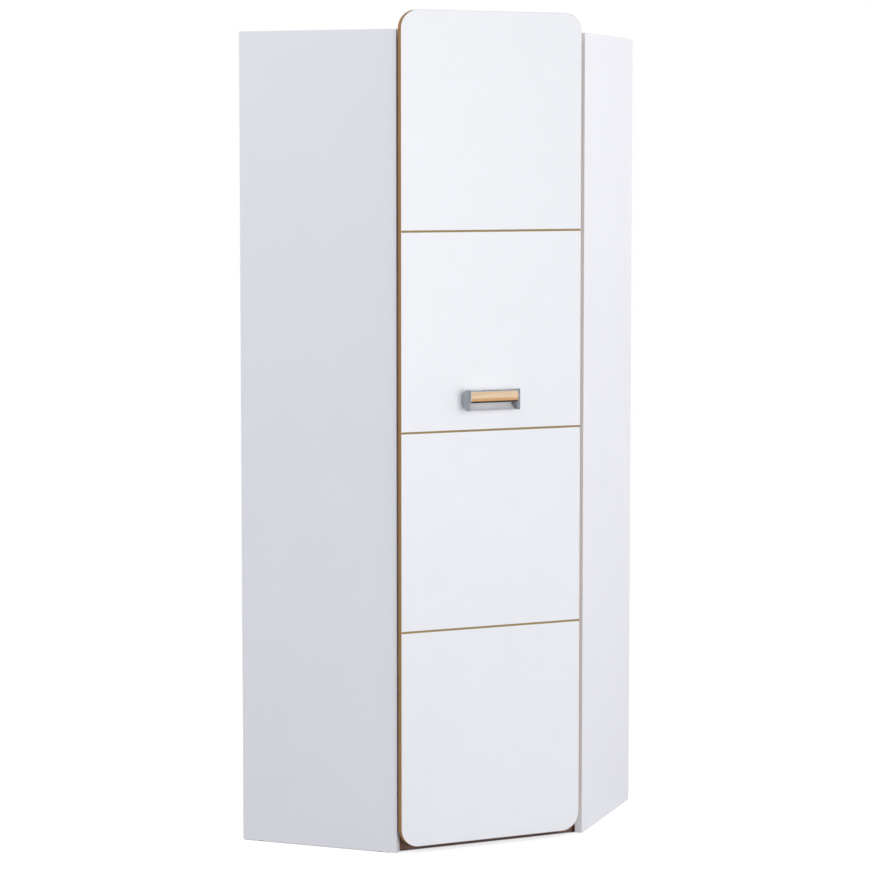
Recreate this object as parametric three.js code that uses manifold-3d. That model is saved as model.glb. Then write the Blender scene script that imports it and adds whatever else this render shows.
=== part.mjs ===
import * as THREE from 'three';
import { mergeVertices } from 'three/addons/utils/BufferGeometryUtils.js';
import Module from 'manifold-3d';

// Corner wardrobe with one door across the corner.
// Millimetres, +Z up, the door faces -Y and the room corner lies towards +Y.
// In plan, "along" is the distance from the room corner along a wall, "off" the distance off that wall.
// The plane y = 0 touches the foremost corners of both side panels until the last group shifts it.

const wasm = await Module();
wasm.setup();

// Carcass
const wallWidth = 750;
const sideDepth = 400;
const carcassTop = 1950;
const boardThickness = 18;
const seatGap = 0.3;
const overrun = 1;

// Decks and hat shelf
const bottomDeckBottom = 60;
const deckSetback = 5;
const hatSpace = 274;
const hatShelfSetback = 60;

// Back panels, their grooves and the post in the corner
const backThickness = 3.2;
const backInset = 12;
const grooveDepth = 8;
const backBottom = 24;
const backTopClearance = 2;
const postWidth = 38;
const postSetback = 4;

// Plinth and deck cleats
const plinthSetback = 26;
const plinthThickness = 16;
const cleatWidth = 20;
const cleatHeight = 24;
const cleatRear = 60;
const cleatPlinthGap = 10;

// Glides under the panels and the post
const glideProud = 2;
const glideRadius = 8;
const glideSpigotRadius = 4;
const glideSpigotLength = 12;
const glideInset = 45;

// Door leaf; its insets are measured from the foremost corners of the side panels
const doorLeftInset = 3;
const doorRightInset = 18.5;
const doorBottom = 17;
const doorRise = 45;
const doorThickness = 18;
const doorGap = 2;
const doorCornerRadius = 45;
const doorEdgeRound = 2;
const grooveSpacing = 473;
const millWidth = 5;
const millFloor = 2.4;
const millDepth = 3;

// Handle
const handleOffset = 10.25;
const handleAboveGroove = 74;
const handleScrewSpacing = 96;
const handleEndOverhang = 22;
const handleHalfHeight = 25;
const handleDepth = 31;
const handleSeatCut = 0.8;
const handleWall = 2;
const capThickness = 8.6;
const capEdgeRound = 1;
const insertSeat = 7;
const insertBulge = 8;
const insertBottom = -6;
const handleScrewRadius = 2;
const handleScrewHeadRadius = 4.5;
const handleScrewHeadHeight = 2.4;
const handleBossRadius = 5;
const handleBossHeight = 7;
const handleBossFloor = 1.2;

// Cup hinges with one pivot each
const hingeCount = 4;
const cupEdgeDistance = 3;
const cupRadius = 17.5;
const cupDepth = 12.5;
const cupWall = 1;
const cupFlangeLip = 1.5;
const cupFlangeThickness = 1.2;
const cupWingLength = 60;
const cupWingWidth = 15;
const pinRadius = 1.8;
const eyeRadius = 3.3;
const eyeWallClearance = 2.7;
const eyeFloorClearance = 0.7;
const armDoorClearance = 2;
const armThickness = 3;
const armWidth = 9;
const armReach = 80;
const neckAngle = Math.PI / 6;
const plateLength = 44;
const plateInset = 12;
const plateWidth = 12;
const plateWingLength = 52;
const plateWingWidth = 16;
const plateWingThickness = 2.5;
const plateDeckGap = 12;

// Clothes rail and its hangers
const railLength = 560;
const railHeight = 30;
const railDepth = 15;
const railWall = 1.2;
const railDistance = 300;
const railDrop = 52;
const hangerInset = 45;
const hangerRing = 3.5;
const hangerWidth = 14;
const hangerFlangeRadius = 22;
const hangerFlangeHeight = 4;
const hangerStemRadius = 6;

// Shelf supports
const supportPinRadius = 2.5;
const supportPinLength = 9;
const supportTongueLength = 12;
const supportTongueWidth = 9;
const supportTongueHeight = 6;
const supportFrontInset = 110;
const supportRearInset = 80;
const blockWidth = 22;
const blockHeight = 30;

// Cam fittings of the top deck
const camRadius = 7.5;
const camHeight = 12.5;
const camEdgeInset = 34;
const camSlotClearance = 1;
const boltRadius = 3.2;
const boltPanelDepth = 10;
const boltInset = 70;

// Door buffers
const bufferRadius = 5;
const bufferInset = 40;

// Wall brackets under the top deck
const bracketWidth = 30;
const bracketLeg = 48;
const bracketDrop = 36;
const bracketThickness = 2;
const bracketAlong = 330;
const bracketHoleRadius = 3;
const bracketHoleInset = 12;

// Counts of straight steps on round shapes
const fineSides = 28;
const smallSides = 12;
const cornerSteps = 8;
const profileSteps = 16;

const diagonal = Math.SQRT1_2;
const cornerDepth = diagonal * (wallWidth + sideDepth);
const innerFace = wallWidth - boardThickness;
const topDeckBottom = carcassTop - boardThickness;
const bottomDeckTop = bottomDeckBottom + boardThickness;
const hatShelfBottom = topDeckBottom - hatSpace - boardThickness;
const plinthRear = plinthSetback + plinthThickness;
const postReach = postSetback + postWidth;
const grooveWidth = backThickness + 2 * seatGap;
const deckRear = backInset + grooveWidth;
const doorFront = -doorGap - doorThickness;
const frontHalf = diagonal * (wallWidth - sideDepth);
const doorLeft = -frontHalf + doorLeftInset;
const doorRight = frontHalf - doorRightInset;
const doorTop = carcassTop + doorRise;
const doorMiddle = (doorBottom + doorTop) / 2;
const handleCentreX = (doorLeft + doorRight) / 2 - handleOffset;
const handleCentreZ = doorMiddle + handleAboveGroove;
const handleInside = handleScrewSpacing / 2 + handleEndOverhang - capThickness;
const left = -1;
const right = 1;

const whiteBoard = new THREE.MeshStandardMaterial({ color: 0xe9e9ee, roughness: 0.45 });
const whiteDoor = new THREE.MeshStandardMaterial({ color: 0xf4f4f6, roughness: 0.35 });
const brownBoard = new THREE.MeshStandardMaterial({ color: 0x7d5848, roughness: 0.55 });
const hardboard = new THREE.MeshStandardMaterial({ color: 0xdedcd8, roughness: 0.6 });
const pineWood = new THREE.MeshStandardMaterial({ color: 0xcfae7c, roughness: 0.65 });
const beechWood = new THREE.MeshStandardMaterial({ color: 0xdfb27a, roughness: 0.4 });
const satinMetal = new THREE.MeshStandardMaterial({ color: 0xa6a8ad, roughness: 0.35, metalness: 1 });
const brightSteel = new THREE.MeshStandardMaterial({ color: 0xc9ccd0, roughness: 0.25, metalness: 1 });
const greyPlastic = new THREE.MeshStandardMaterial({ color: 0x8f9094, roughness: 0.5 });
const clearRubber = new THREE.MeshStandardMaterial({ color: 0xd8d8d2, roughness: 0.6 });

const wardrobe = new THREE.Group();

function addPiece(name, geometry, material) {
  const piece = new THREE.Mesh(geometry, material);
  piece.name = name;
  wardrobe.add(piece);
  return piece;
}

// A closed geometry as a solid that can be joined or cut
function toSolid(geometry) {
  const bare = geometry.clone();
  bare.deleteAttribute('normal');
  bare.deleteAttribute('uv');
  const merged = mergeVertices(bare);
  const vertProperties = new Float32Array(merged.attributes.position.array);
  const triVerts = new Uint32Array(merged.index.array);
  return new wasm.Manifold(new wasm.Mesh({ numProp: 3, vertProperties, triVerts }));
}

function toGeometry(solid) {
  const mesh = solid.getMesh();
  const geometry = new THREE.BufferGeometry();
  geometry.setAttribute('position', new THREE.BufferAttribute(new Float32Array(mesh.vertProperties), 3));
  geometry.setIndex(new THREE.BufferAttribute(new Uint32Array(mesh.triVerts), 1));
  geometry.computeVertexNormals();
  return geometry;
}

function join(...geometries) {
  const solids = geometries.map(toSolid);
  return toGeometry(solids.reduce((whole, next) => whole.add(next)));
}

function cut(geometry, tools) {
  const solids = tools.map(toSolid);
  return toGeometry(solids.reduce((whole, next) => whole.subtract(next), toSolid(geometry)));
}

// A point of the plan beside one of the two walls
function plan(side, along, off) {
  return new THREE.Vector2(side * diagonal * (along - off), cornerDepth - diagonal * (along + off));
}

// A direction of the plan, away from the room corner along the wall or straight off it
function planDirection(side, along, off) {
  return new THREE.Vector3(side * diagonal * (along - off), -diagonal * (along + off), 0);
}

// An upright prism between two heights
function prism(points, bottom, top) {
  const shape = new THREE.Shape(points);
  const geometry = new THREE.ExtrudeGeometry(shape, { depth: top - bottom, bevelEnabled: false });
  return geometry.translate(0, 0, bottom);
}

// An upright prism whose plan is a rectangle beside a wall
function wallPrism(side, alongRange, offRange, bottom, top) {
  const [a0, a1] = alongRange;
  const [f0, f1] = offRange;
  const points = [plan(side, a0, f0), plan(side, a1, f0), plan(side, a1, f1), plan(side, a0, f1)];
  return prism(points, bottom, top);
}

function box(xRange, yRange, zRange) {
  const [x0, x1] = xRange;
  const [y0, y1] = yRange;
  const [z0, z1] = zRange;
  const geometry = new THREE.BoxGeometry(x1 - x0, y1 - y0, z1 - z0);
  return geometry.translate((x0 + x1) / 2, (y0 + y1) / 2, (z0 + z1) / 2);
}

// A round bar that starts at a point and runs in a direction
function bar(radius, length, start, direction, sides) {
  const geometry = new THREE.CylinderGeometry(radius, radius, length, sides);
  geometry.translate(0, length / 2, 0);
  const turn = new THREE.Quaternion().setFromUnitVectors(new THREE.Vector3(0, 1, 0), direction);
  geometry.applyQuaternion(turn);
  return geometry.translate(start.x, start.y, start.z);
}

const up = new THREE.Vector3(0, 0, 1);
const down = new THREE.Vector3(0, 0, -1);
const forward = new THREE.Vector3(0, -1, 0);
const backward = new THREE.Vector3(0, 1, 0);

function at(planPoint, height) {
  return new THREE.Vector3(planPoint.x, planPoint.y, height);
}

// Inner side of a side panel, seat gap included, where it passes a distance behind the front plane
function insideX(side, distance) {
  return side * (2 * diagonal * (innerFace - seatGap) - cornerDepth + distance);
}

// Side panels, with a groove for the back panel and blind holes for the fittings

const middleOfPanel = wallWidth - boardThickness / 2;
const boltHeight = topDeckBottom + boardThickness / 2;
const boltOffs = [sideDepth - boltInset, boltInset];
const supportPinHeight = hatShelfBottom - supportTongueHeight / 2;
const supportOffs = [sideDepth - supportFrontInset, supportRearInset];

function glidePlaces(side) {
  return [plan(side, middleOfPanel, sideDepth - glideInset), plan(side, middleOfPanel, glideInset)];
}

function glideHole(place) {
  const start = at(place, glideProud - overrun);
  return bar(glideSpigotRadius + seatGap, glideSpigotLength + seatGap + overrun, start, up, smallSides);
}

function sidePanel(side, name) {
  const outline = [
    plan(side, wallWidth, 0),
    plan(side, wallWidth, sideDepth),
    plan(side, innerFace, sideDepth),
    plan(side, innerFace, backInset + grooveWidth),
    plan(side, innerFace + grooveDepth, backInset + grooveWidth),
    plan(side, innerFace + grooveDepth, backInset),
    plan(side, innerFace, backInset),
    plan(side, innerFace, 0),
  ];
  const outward = planDirection(side, 1, 0);
  const holes = glidePlaces(side).map(glideHole);
  for (const off of supportOffs) {
    const start = at(plan(side, innerFace - overrun, off), supportPinHeight);
    const depth = supportPinLength + seatGap + overrun;
    holes.push(bar(supportPinRadius + seatGap, depth, start, outward, smallSides));
  }
  for (const off of boltOffs) {
    const start = at(plan(side, innerFace - overrun, off), boltHeight);
    const depth = boltPanelDepth + seatGap + overrun;
    holes.push(bar(boltRadius + seatGap, depth, start, outward, smallSides));
  }
  addPiece(name, cut(prism(outline, glideProud, carcassTop), holes), whiteBoard);
}

sidePanel(left, 'left_side_panel');
sidePanel(right, 'right_side_panel');

// Five-sided decks between the side panels; a lower deck is notched round the corner post

function sideOfDeck(side, setback, notched) {
  const end = innerFace - seatGap;
  const frontOff = Math.min(sideDepth, (cornerDepth - setback) / diagonal - end);
  const shoulder = plan(side, end, frontOff);
  const points = [new THREE.Vector2(shoulder.x, setback)];
  if (setback < shoulder.y - seatGap) {
    points.push(shoulder);
  }
  points.push(plan(side, end, deckRear));
  if (notched) {
    points.push(plan(side, postReach + seatGap, deckRear));
  }
  return points;
}

function deckPrism(setback, notched, bottom) {
  const middle = notched ? postReach + seatGap : deckRear;
  const points = [
    ...sideOfDeck(left, setback, notched),
    plan(left, middle, middle),
    ...sideOfDeck(right, setback, notched).reverse(),
  ];
  return prism(points, bottom, bottom + boardThickness);
}

addPiece('bottom_deck', deckPrism(deckSetback, true, bottomDeckBottom), whiteBoard);
addPiece('hat_shelf', deckPrism(hatShelfSetback, true, hatShelfBottom), whiteBoard);

// Cam fittings that pull the top deck against the side panels

const camFloor = carcassTop - camHeight - seatGap;
const camReach = innerFace - camEdgeInset;
const camSlotWidth = 2 * (boltRadius + camSlotClearance);
const endNames = ['front', 'rear'];
const boltFittings = [];

for (const [side, sideName] of [[left, 'left'], [right, 'right']]) {
  boltOffs.forEach((off, end) => {
    boltFittings.push({ side, off, label: `${sideName}_${endNames[end]}` });
  });
}

function camBores({ side, off }) {
  const camPlace = at(plan(side, camReach, off), camFloor);
  const edgePlace = at(plan(side, innerFace, off), boltHeight);
  const inward = planDirection(side, -1, 0);
  return [
    bar(camRadius + seatGap, camHeight + seatGap + overrun, camPlace, up, fineSides),
    bar(boltRadius + seatGap, camEdgeInset, edgePlace, inward, smallSides),
  ];
}

const topDeckCuts = boltFittings.flatMap(camBores);
addPiece('top_deck', cut(deckPrism(deckSetback, false, topDeckBottom), topDeckCuts), whiteBoard);

function addCamAndBolt({ side, off, label }) {
  const floor = camFloor + seatGap;
  const cam = bar(camRadius, camHeight, at(plan(side, camReach, off), floor), up, fineSides);
  const slotAlong = [camReach - camSlotWidth / 2, camReach + camRadius + overrun];
  const slotOff = [off - camSlotWidth / 2, off + camSlotWidth / 2];
  const slotTop = boltHeight + camSlotWidth / 2;
  const slot = wallPrism(side, slotAlong, slotOff, floor - overrun, slotTop);
  addPiece(`cam_${label}`, cut(cam, [slot]), brightSteel);
  const boltEnd = at(plan(side, innerFace + boltPanelDepth, off), boltHeight);
  const boltLength = boltPanelDepth + camEdgeInset - boltRadius / 2;
  const bolt = bar(boltRadius, boltLength, boltEnd, planDirection(side, -1, 0), smallSides);
  addPiece(`cam_bolt_${label}`, bolt, brightSteel);
}

boltFittings.forEach(addCamAndBolt);

// Back panels in their grooves, and the post that joins them in the corner

function backPanel(side, name) {
  const ends = [postReach - grooveDepth + seatGap, innerFace + grooveDepth - seatGap];
  const faces = [backInset + seatGap, backInset + seatGap + backThickness];
  addPiece(name, wallPrism(side, ends, faces, backBottom, carcassTop - backTopClearance), hardboard);
}

backPanel(left, 'left_back_panel');
backPanel(right, 'right_back_panel');

function cornerPost() {
  const start = backInset;
  const end = backInset + grooveWidth;
  const root = postReach - grooveDepth;
  const half = [
    [postReach, postSetback],
    [postReach, start],
    [root, start],
    [root, end],
    [postReach, end],
  ];
  const points = [plan(left, postSetback, postSetback)];
  for (const [along, off] of half) {
    points.push(plan(left, along, off));
  }
  points.push(plan(left, postReach, postReach));
  for (const [along, off] of half.reverse()) {
    points.push(plan(right, along, off));
  }
  const middle = plan(left, postSetback + postWidth / 2, postSetback + postWidth / 2);
  const post = cut(prism(points, glideProud, topDeckBottom), [glideHole(middle)]);
  addPiece('corner_post', post, pineWood);
  return middle;
}

const postMiddle = cornerPost();

// Plinth below the door, and the cleats that carry the bottom deck with it

function plinth() {
  const points = [
    new THREE.Vector2(insideX(left, plinthSetback), plinthSetback),
    new THREE.Vector2(insideX(right, plinthSetback), plinthSetback),
    new THREE.Vector2(insideX(right, plinthRear), plinthRear),
    new THREE.Vector2(insideX(left, plinthRear), plinthRear),
  ];
  addPiece('plinth', prism(points, glideProud, bottomDeckBottom), brownBoard);
}

function deckCleat(side, name) {
  const outer = innerFace - seatGap;
  const front = (cornerDepth - plinthRear - cleatPlinthGap) / diagonal - outer;
  const length = [cleatRear, front];
  const cleatBottom = bottomDeckBottom - cleatHeight;
  const cleat = wallPrism(side, [outer - cleatWidth, outer], length, cleatBottom, bottomDeckBottom);
  addPiece(name, cleat, pineWood);
}

plinth();
deckCleat(left, 'left_deck_cleat');
deckCleat(right, 'right_deck_cleat');

// Glides

function glide(place, name) {
  const foot = bar(glideRadius, glideProud, at(place, 0), up, fineSides);
  const spigotStart = at(place, glideProud - overrun);
  const spigot = bar(glideSpigotRadius, glideSpigotLength + overrun, spigotStart, up, smallSides);
  addPiece(name, join(foot, spigot), greyPlastic);
}

glidePlaces(left).forEach((place, index) => glide(place, `left_glide_${index + 1}`));
glidePlaces(right).forEach((place, index) => glide(place, `right_glide_${index + 1}`));
glide(postMiddle, 'corner_glide');

// Shelf supports: a pin and tongue in each side panel, and a block on the post

function shelfSupport(side, off, name) {
  const pinStart = at(plan(side, innerFace - seatGap - overrun, off), supportPinHeight);
  const pinReach = supportPinLength + seatGap + overrun;
  const pin = bar(supportPinRadius, pinReach, pinStart, planDirection(side, 1, 0), smallSides);
  const tongueAlong = [innerFace - seatGap - supportTongueLength, innerFace - seatGap];
  const tongueOff = [off - supportTongueWidth / 2, off + supportTongueWidth / 2];
  const tongueBottom = hatShelfBottom - supportTongueHeight;
  const tongue = wallPrism(side, tongueAlong, tongueOff, tongueBottom, hatShelfBottom);
  addPiece(name, join(tongue, pin), brightSteel);
}

for (const [side, sideName] of [[left, 'left'], [right, 'right']]) {
  supportOffs.forEach((off, end) => shelfSupport(side, off, `shelf_support_${sideName}_${endNames[end]}`));
}

const blockAlong = [postReach + seatGap, postReach + seatGap + blockWidth];
const blockOff = [postReach - blockWidth, postReach];
const shelfBlock = wallPrism(left, blockAlong, blockOff, hatShelfBottom - blockHeight, hatShelfBottom);
addPiece('shelf_block', shelfBlock, pineWood);

// Clothes rail: an oval tube hung under the hat shelf

const railHeightCentre = hatShelfBottom - railDrop;

// An upright oval with straight sides, seen along X; the second number grows it all round
function oval(growth) {
  const radius = railDepth / 2 + growth;
  const straight = (railHeight - railDepth) / 2;
  const shape = new THREE.Shape();
  shape.absarc(0, straight, radius, 0, Math.PI);
  shape.absarc(0, -straight, radius, Math.PI, 2 * Math.PI);
  return shape;
}

// An outline drawn in Y and Z, extruded along X between two places
function crosswise(shape, start, end, curveSegments) {
  const options = { depth: end - start, bevelEnabled: false, curveSegments };
  const geometry = new THREE.ExtrudeGeometry(shape, options);
  const axes = new THREE.Matrix4().makeBasis(backward, up, new THREE.Vector3(1, 0, 0));
  return geometry.applyMatrix4(axes).translate(start, 0, 0);
}

function clothesRail() {
  const section = oval(0);
  section.holes.push(oval(-railWall));
  const tube = crosswise(section, -railLength / 2, railLength / 2, smallSides);
  const rail = addPiece('clothes_rail', tube, brightSteel);
  rail.position.set(0, railDistance, railHeightCentre);
}

function railHanger(side, name) {
  const ring = oval(seatGap + hangerRing);
  const solidRing = crosswise(ring, -hangerWidth / 2, hangerWidth / 2, smallSides);
  const passage = crosswise(oval(seatGap), -hangerWidth, hangerWidth, smallSides);
  const stemStart = new THREE.Vector3(0, 0, railDrop);
  const stem = bar(hangerStemRadius, railDrop - railHeight / 2, stemStart, down, smallSides);
  const flange = bar(hangerFlangeRadius, hangerFlangeHeight, stemStart, down, fineSides);
  const hanger = addPiece(name, cut(join(solidRing, stem, flange), [passage]), brightSteel);
  hanger.position.set(side * (railLength / 2 - hangerInset), railDistance, railHeightCentre);
}

clothesRail();
railHanger(left, 'left_rail_hanger');
railHanger(right, 'right_rail_hanger');

// Wall brackets that keep the wardrobe from tipping, screwed through the back panels

function wallBracket(side, name) {
  const width = [bracketAlong - bracketWidth / 2, bracketAlong + bracketWidth / 2];
  const footOff = [deckRear, deckRear + bracketLeg];
  const legOff = [deckRear, deckRear + bracketThickness];
  const footBottom = topDeckBottom - bracketThickness;
  const foot = wallPrism(side, width, footOff, footBottom, topDeckBottom);
  const leg = wallPrism(side, width, legOff, topDeckBottom - bracketDrop, topDeckBottom);
  const wallHolePlace = plan(side, bracketAlong, deckRear - overrun);
  const wallHoleStart = at(wallHolePlace, topDeckBottom - bracketDrop / 2);
  const holeLength = bracketThickness + 2 * overrun;
  const wallHole = bar(bracketHoleRadius, holeLength, wallHoleStart, planDirection(side, 0, 1), smallSides);
  const footHolePlace = plan(side, bracketAlong, deckRear + bracketLeg - bracketHoleInset);
  const footHoleStart = at(footHolePlace, footBottom - overrun);
  const footHole = bar(bracketHoleRadius, holeLength, footHoleStart, up, smallSides);
  addPiece(name, cut(join(foot, leg), [wallHole, footHole]), brightSteel);
}

wallBracket(left, 'left_wall_bracket');
wallBracket(right, 'right_wall_bracket');

// Door leaf with round corners, milled grooves and bores for the hinge cups and handle screws

const cupCentreX = doorRight - cupRadius - cupEdgeDistance;
const pivotX = cupCentreX + cupRadius - cupWall - eyeRadius - eyeWallClearance;
const pivotDepth = cupDepth - cupWall - eyeRadius - eyeFloorClearance;
const pivot = new THREE.Vector2(pivotX, -doorGap - pivotDepth);
const lowestHinge = bottomDeckTop + plateDeckGap + plateWingLength / 2;
const highestHinge = topDeckBottom - plateDeckGap - plateWingLength / 2;
const hingeHeights = [];

for (let index = 0; index < hingeCount; index += 1) {
  hingeHeights.push(lowestHinge + (highestHinge - lowestHinge) * index / (hingeCount - 1));
}

const handleScrewPlaces = [left, right].map((side) => handleCentreX + side * handleScrewSpacing / 2);

function doorShape() {
  const radius = doorCornerRadius - doorEdgeRound;
  const x0 = doorLeft + doorEdgeRound;
  const x1 = doorRight - doorEdgeRound;
  const z0 = doorBottom + doorEdgeRound;
  const z1 = doorTop - doorEdgeRound;
  const quarter = Math.PI / 2;
  const shape = new THREE.Shape();
  shape.absarc(x1 - radius, z0 + radius, radius, -quarter, 0);
  shape.absarc(x1 - radius, z1 - radius, radius, 0, quarter);
  shape.absarc(x0 + radius, z1 - radius, radius, quarter, 2 * quarter);
  shape.absarc(x0 + radius, z0 + radius, radius, 2 * quarter, 3 * quarter);
  return shape;
}

function doorBlank() {
  const options = {
    depth: doorThickness - 2 * doorEdgeRound,
    bevelThickness: doorEdgeRound,
    bevelSize: doorEdgeRound,
    bevelSegments: 2,
    curveSegments: cornerSteps,
  };
  const geometry = new THREE.ExtrudeGeometry(doorShape(), options);
  const axes = new THREE.Matrix4().makeBasis(new THREE.Vector3(1, 0, 0), up, forward);
  return geometry.applyMatrix4(axes).translate(0, -doorGap - doorEdgeRound, 0);
}

// A groove across the front with slanted sides and a narrow floor
function milledGroove(height) {
  const mouth = millWidth / 2;
  const floor = millFloor / 2;
  const points = [
    new THREE.Vector2(doorFront - overrun, -mouth),
    new THREE.Vector2(doorFront, -mouth),
    new THREE.Vector2(doorFront + millDepth, -floor),
    new THREE.Vector2(doorFront + millDepth, floor),
    new THREE.Vector2(doorFront, mouth),
    new THREE.Vector2(doorFront - overrun, mouth),
  ];
  const tool = crosswise(new THREE.Shape(points), doorLeft - overrun, doorRight + overrun, cornerSteps);
  return tool.translate(0, 0, height);
}

function doorPanel() {
  const grooveHeights = [doorMiddle - grooveSpacing, doorMiddle, doorMiddle + grooveSpacing];
  const cuts = grooveHeights.map(milledGroove);
  for (const height of hingeHeights) {
    const mouth = new THREE.Vector3(cupCentreX, -doorGap + overrun, height);
    cuts.push(bar(cupRadius + seatGap, cupDepth + seatGap + overrun, mouth, forward, fineSides));
  }
  for (const place of handleScrewPlaces) {
    const start = new THREE.Vector3(place, -doorGap + overrun, handleCentreZ);
    cuts.push(bar(handleScrewRadius + seatGap, doorThickness + 2 * overrun, start, forward, smallSides));
  }
  addPiece('door_panel', cut(doorBlank(), cuts), whiteDoor);
}

doorPanel();

// Rubber buffers on the door, opposite the front edges of the two decks

function doorBuffer(height, name) {
  const length = doorGap + deckSetback - seatGap;
  const start = new THREE.Vector3(doorLeft + bufferInset, -doorGap, height);
  addPiece(name, bar(bufferRadius, length, start, backward, smallSides), clearRubber);
}

doorBuffer(boltHeight, 'upper_door_buffer');
doorBuffer(bottomDeckBottom + boardThickness / 2, 'lower_door_buffer');

// Handle: a round-backed trough between two end caps, with a wooden grip across its upper half

function handleCurve(wall) {
  const points = [];
  for (let step = 0; step <= profileSteps; step += 1) {
    const angle = Math.PI * (step / profileSteps - 1 / 2);
    const reach = (handleDepth + handleSeatCut - wall) * Math.cos(angle);
    const out = Math.max(handleDepth - reach, wall);
    points.push(new THREE.Vector2(-out, (handleHalfHeight - wall) * Math.sin(angle)));
  }
  return points;
}

function troughShape() {
  return new THREE.Shape([...handleCurve(0), ...handleCurve(handleWall).reverse()]);
}

// The grip's back top edge lies just under the trough's inner curve
function gripShape() {
  const insertBack = handleDepth - insertSeat;
  const curveReach = insertSeat / (handleDepth + handleSeatCut - handleWall);
  const insertTop = (handleHalfHeight - handleWall) * Math.sqrt(1 - curveReach ** 2) - seatGap;
  const middle = (insertTop + insertBottom) / 2;
  const halfHeight = (insertTop - insertBottom) / 2;
  const shape = new THREE.Shape();
  shape.moveTo(-insertBack, insertBottom);
  shape.lineTo(-insertBack, insertTop);
  shape.absellipse(-handleDepth, middle, insertBulge, halfHeight, Math.PI / 2, 3 * Math.PI / 2, false);
  return shape;
}

function placeOnDoor(piece) {
  piece.position.set(handleCentreX, doorFront, handleCentreZ);
}

function handleTrough() {
  const reach = handleInside - seatGap;
  const trough = crosswise(troughShape(), -reach, reach, profileSteps);
  const bosses = [];
  const holes = [];
  for (const side of [left, right]) {
    const place = side * handleScrewSpacing / 2;
    const bossStart = new THREE.Vector3(place, -handleWall / 2, 0);
    bosses.push(bar(handleBossRadius, handleBossHeight, bossStart, forward, smallSides));
    const holeStart = new THREE.Vector3(place, overrun, 0);
    const depth = handleWall / 2 + handleBossHeight - handleBossFloor + overrun;
    holes.push(bar(handleScrewRadius + seatGap, depth, holeStart, forward, smallSides));
  }
  placeOnDoor(addPiece('handle_trough', cut(join(trough, ...bosses), holes), satinMetal));
}

function handleCap(side, name) {
  const rounding = capEdgeRound;
  const options = {
    depth: capThickness - 2 * rounding,
    bevelThickness: rounding,
    bevelSize: rounding,
    bevelOffset: -rounding,
    bevelSegments: 2,
  };
  const geometry = new THREE.ExtrudeGeometry(new THREE.Shape(handleCurve(0)), options);
  const axes = new THREE.Matrix4().makeBasis(backward, up, new THREE.Vector3(1, 0, 0));
  geometry.applyMatrix4(axes);
  geometry.translate(side * (handleInside + capThickness / 2) - capThickness / 2 + rounding, 0, 0);
  placeOnDoor(addPiece(name, geometry, satinMetal));
}

function handleGrip() {
  const reach = handleInside - seatGap;
  placeOnDoor(addPiece('handle_grip', crosswise(gripShape(), -reach, reach, profileSteps), beechWood));
}

function handleScrew(place, name) {
  const shankLength = doorThickness + handleWall / 2 + handleBossHeight - handleBossFloor - seatGap;
  const shankStart = new THREE.Vector3(place, -doorGap, handleCentreZ);
  const shank = bar(handleScrewRadius, shankLength, shankStart, forward, smallSides);
  const headStart = new THREE.Vector3(place, -doorGap, handleCentreZ);
  const head = bar(handleScrewHeadRadius, handleScrewHeadHeight, headStart, backward, smallSides);
  addPiece(name, join(shank, head), brightSteel);
}

handleTrough();
handleCap(left, 'handle_left_cap');
handleCap(right, 'handle_right_cap');
handleGrip();
handleScrew(handleScrewPlaces[0], 'handle_left_screw');
handleScrew(handleScrewPlaces[1], 'handle_right_screw');

// Hinge cup in the door: a round cup with a flange and two screw wings

function hingeCup(height, name) {
  const seat = new THREE.Vector3(cupCentreX, -doorGap, height);
  const top = new THREE.Vector3(cupCentreX, -doorGap + cupFlangeThickness, height);
  const body = bar(cupRadius, cupDepth, seat, forward, fineSides);
  const flange = bar(cupRadius + cupFlangeLip, cupFlangeThickness, top, forward, fineSides);
  const wings = box(
    [cupCentreX - cupWingWidth / 2, cupCentreX + cupWingWidth / 2],
    [-doorGap, -doorGap + cupFlangeThickness],
    [height - cupWingLength / 2, height + cupWingLength / 2],
  );
  const mouth = new THREE.Vector3(cupCentreX, -doorGap + cupFlangeThickness + overrun, height);
  const hollowDepth = cupFlangeThickness + overrun + cupDepth - cupWall;
  const hollow = bar(cupRadius - cupWall, hollowDepth, mouth, forward, fineSides);
  const pinStart = at(pivot, height - cupRadius);
  const pinHole = bar(pinRadius + seatGap, 2 * cupRadius, pinStart, up, smallSides);
  addPiece(name, cut(join(body, flange, wings), [hollow, pinHole]), brightSteel);
}

// The pin ends flush with the outside of the cup's wall
function hingePin(height, name) {
  const farSide = pivot.x + pinRadius - cupCentreX;
  const half = Math.sqrt(cupRadius ** 2 - farSide ** 2);
  addPiece(name, bar(pinRadius, 2 * half, at(pivot, height - half), up, smallSides), brightSteel);
}

// Hinge arm on the carcass: an eye round the pin, a neck that clears the door edge and a straight arm

const panelAngle = 3 * Math.PI / 4;
const doorEdgeSweep = Math.hypot(doorRight - pivotX, pivotDepth);
const armSweep = doorEdgeSweep + armDoorClearance + armThickness / 2;

function aroundPivot(radius, angle) {
  return new THREE.Vector2(pivot.x + radius * Math.cos(angle), pivot.y + radius * Math.sin(angle));
}

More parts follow.
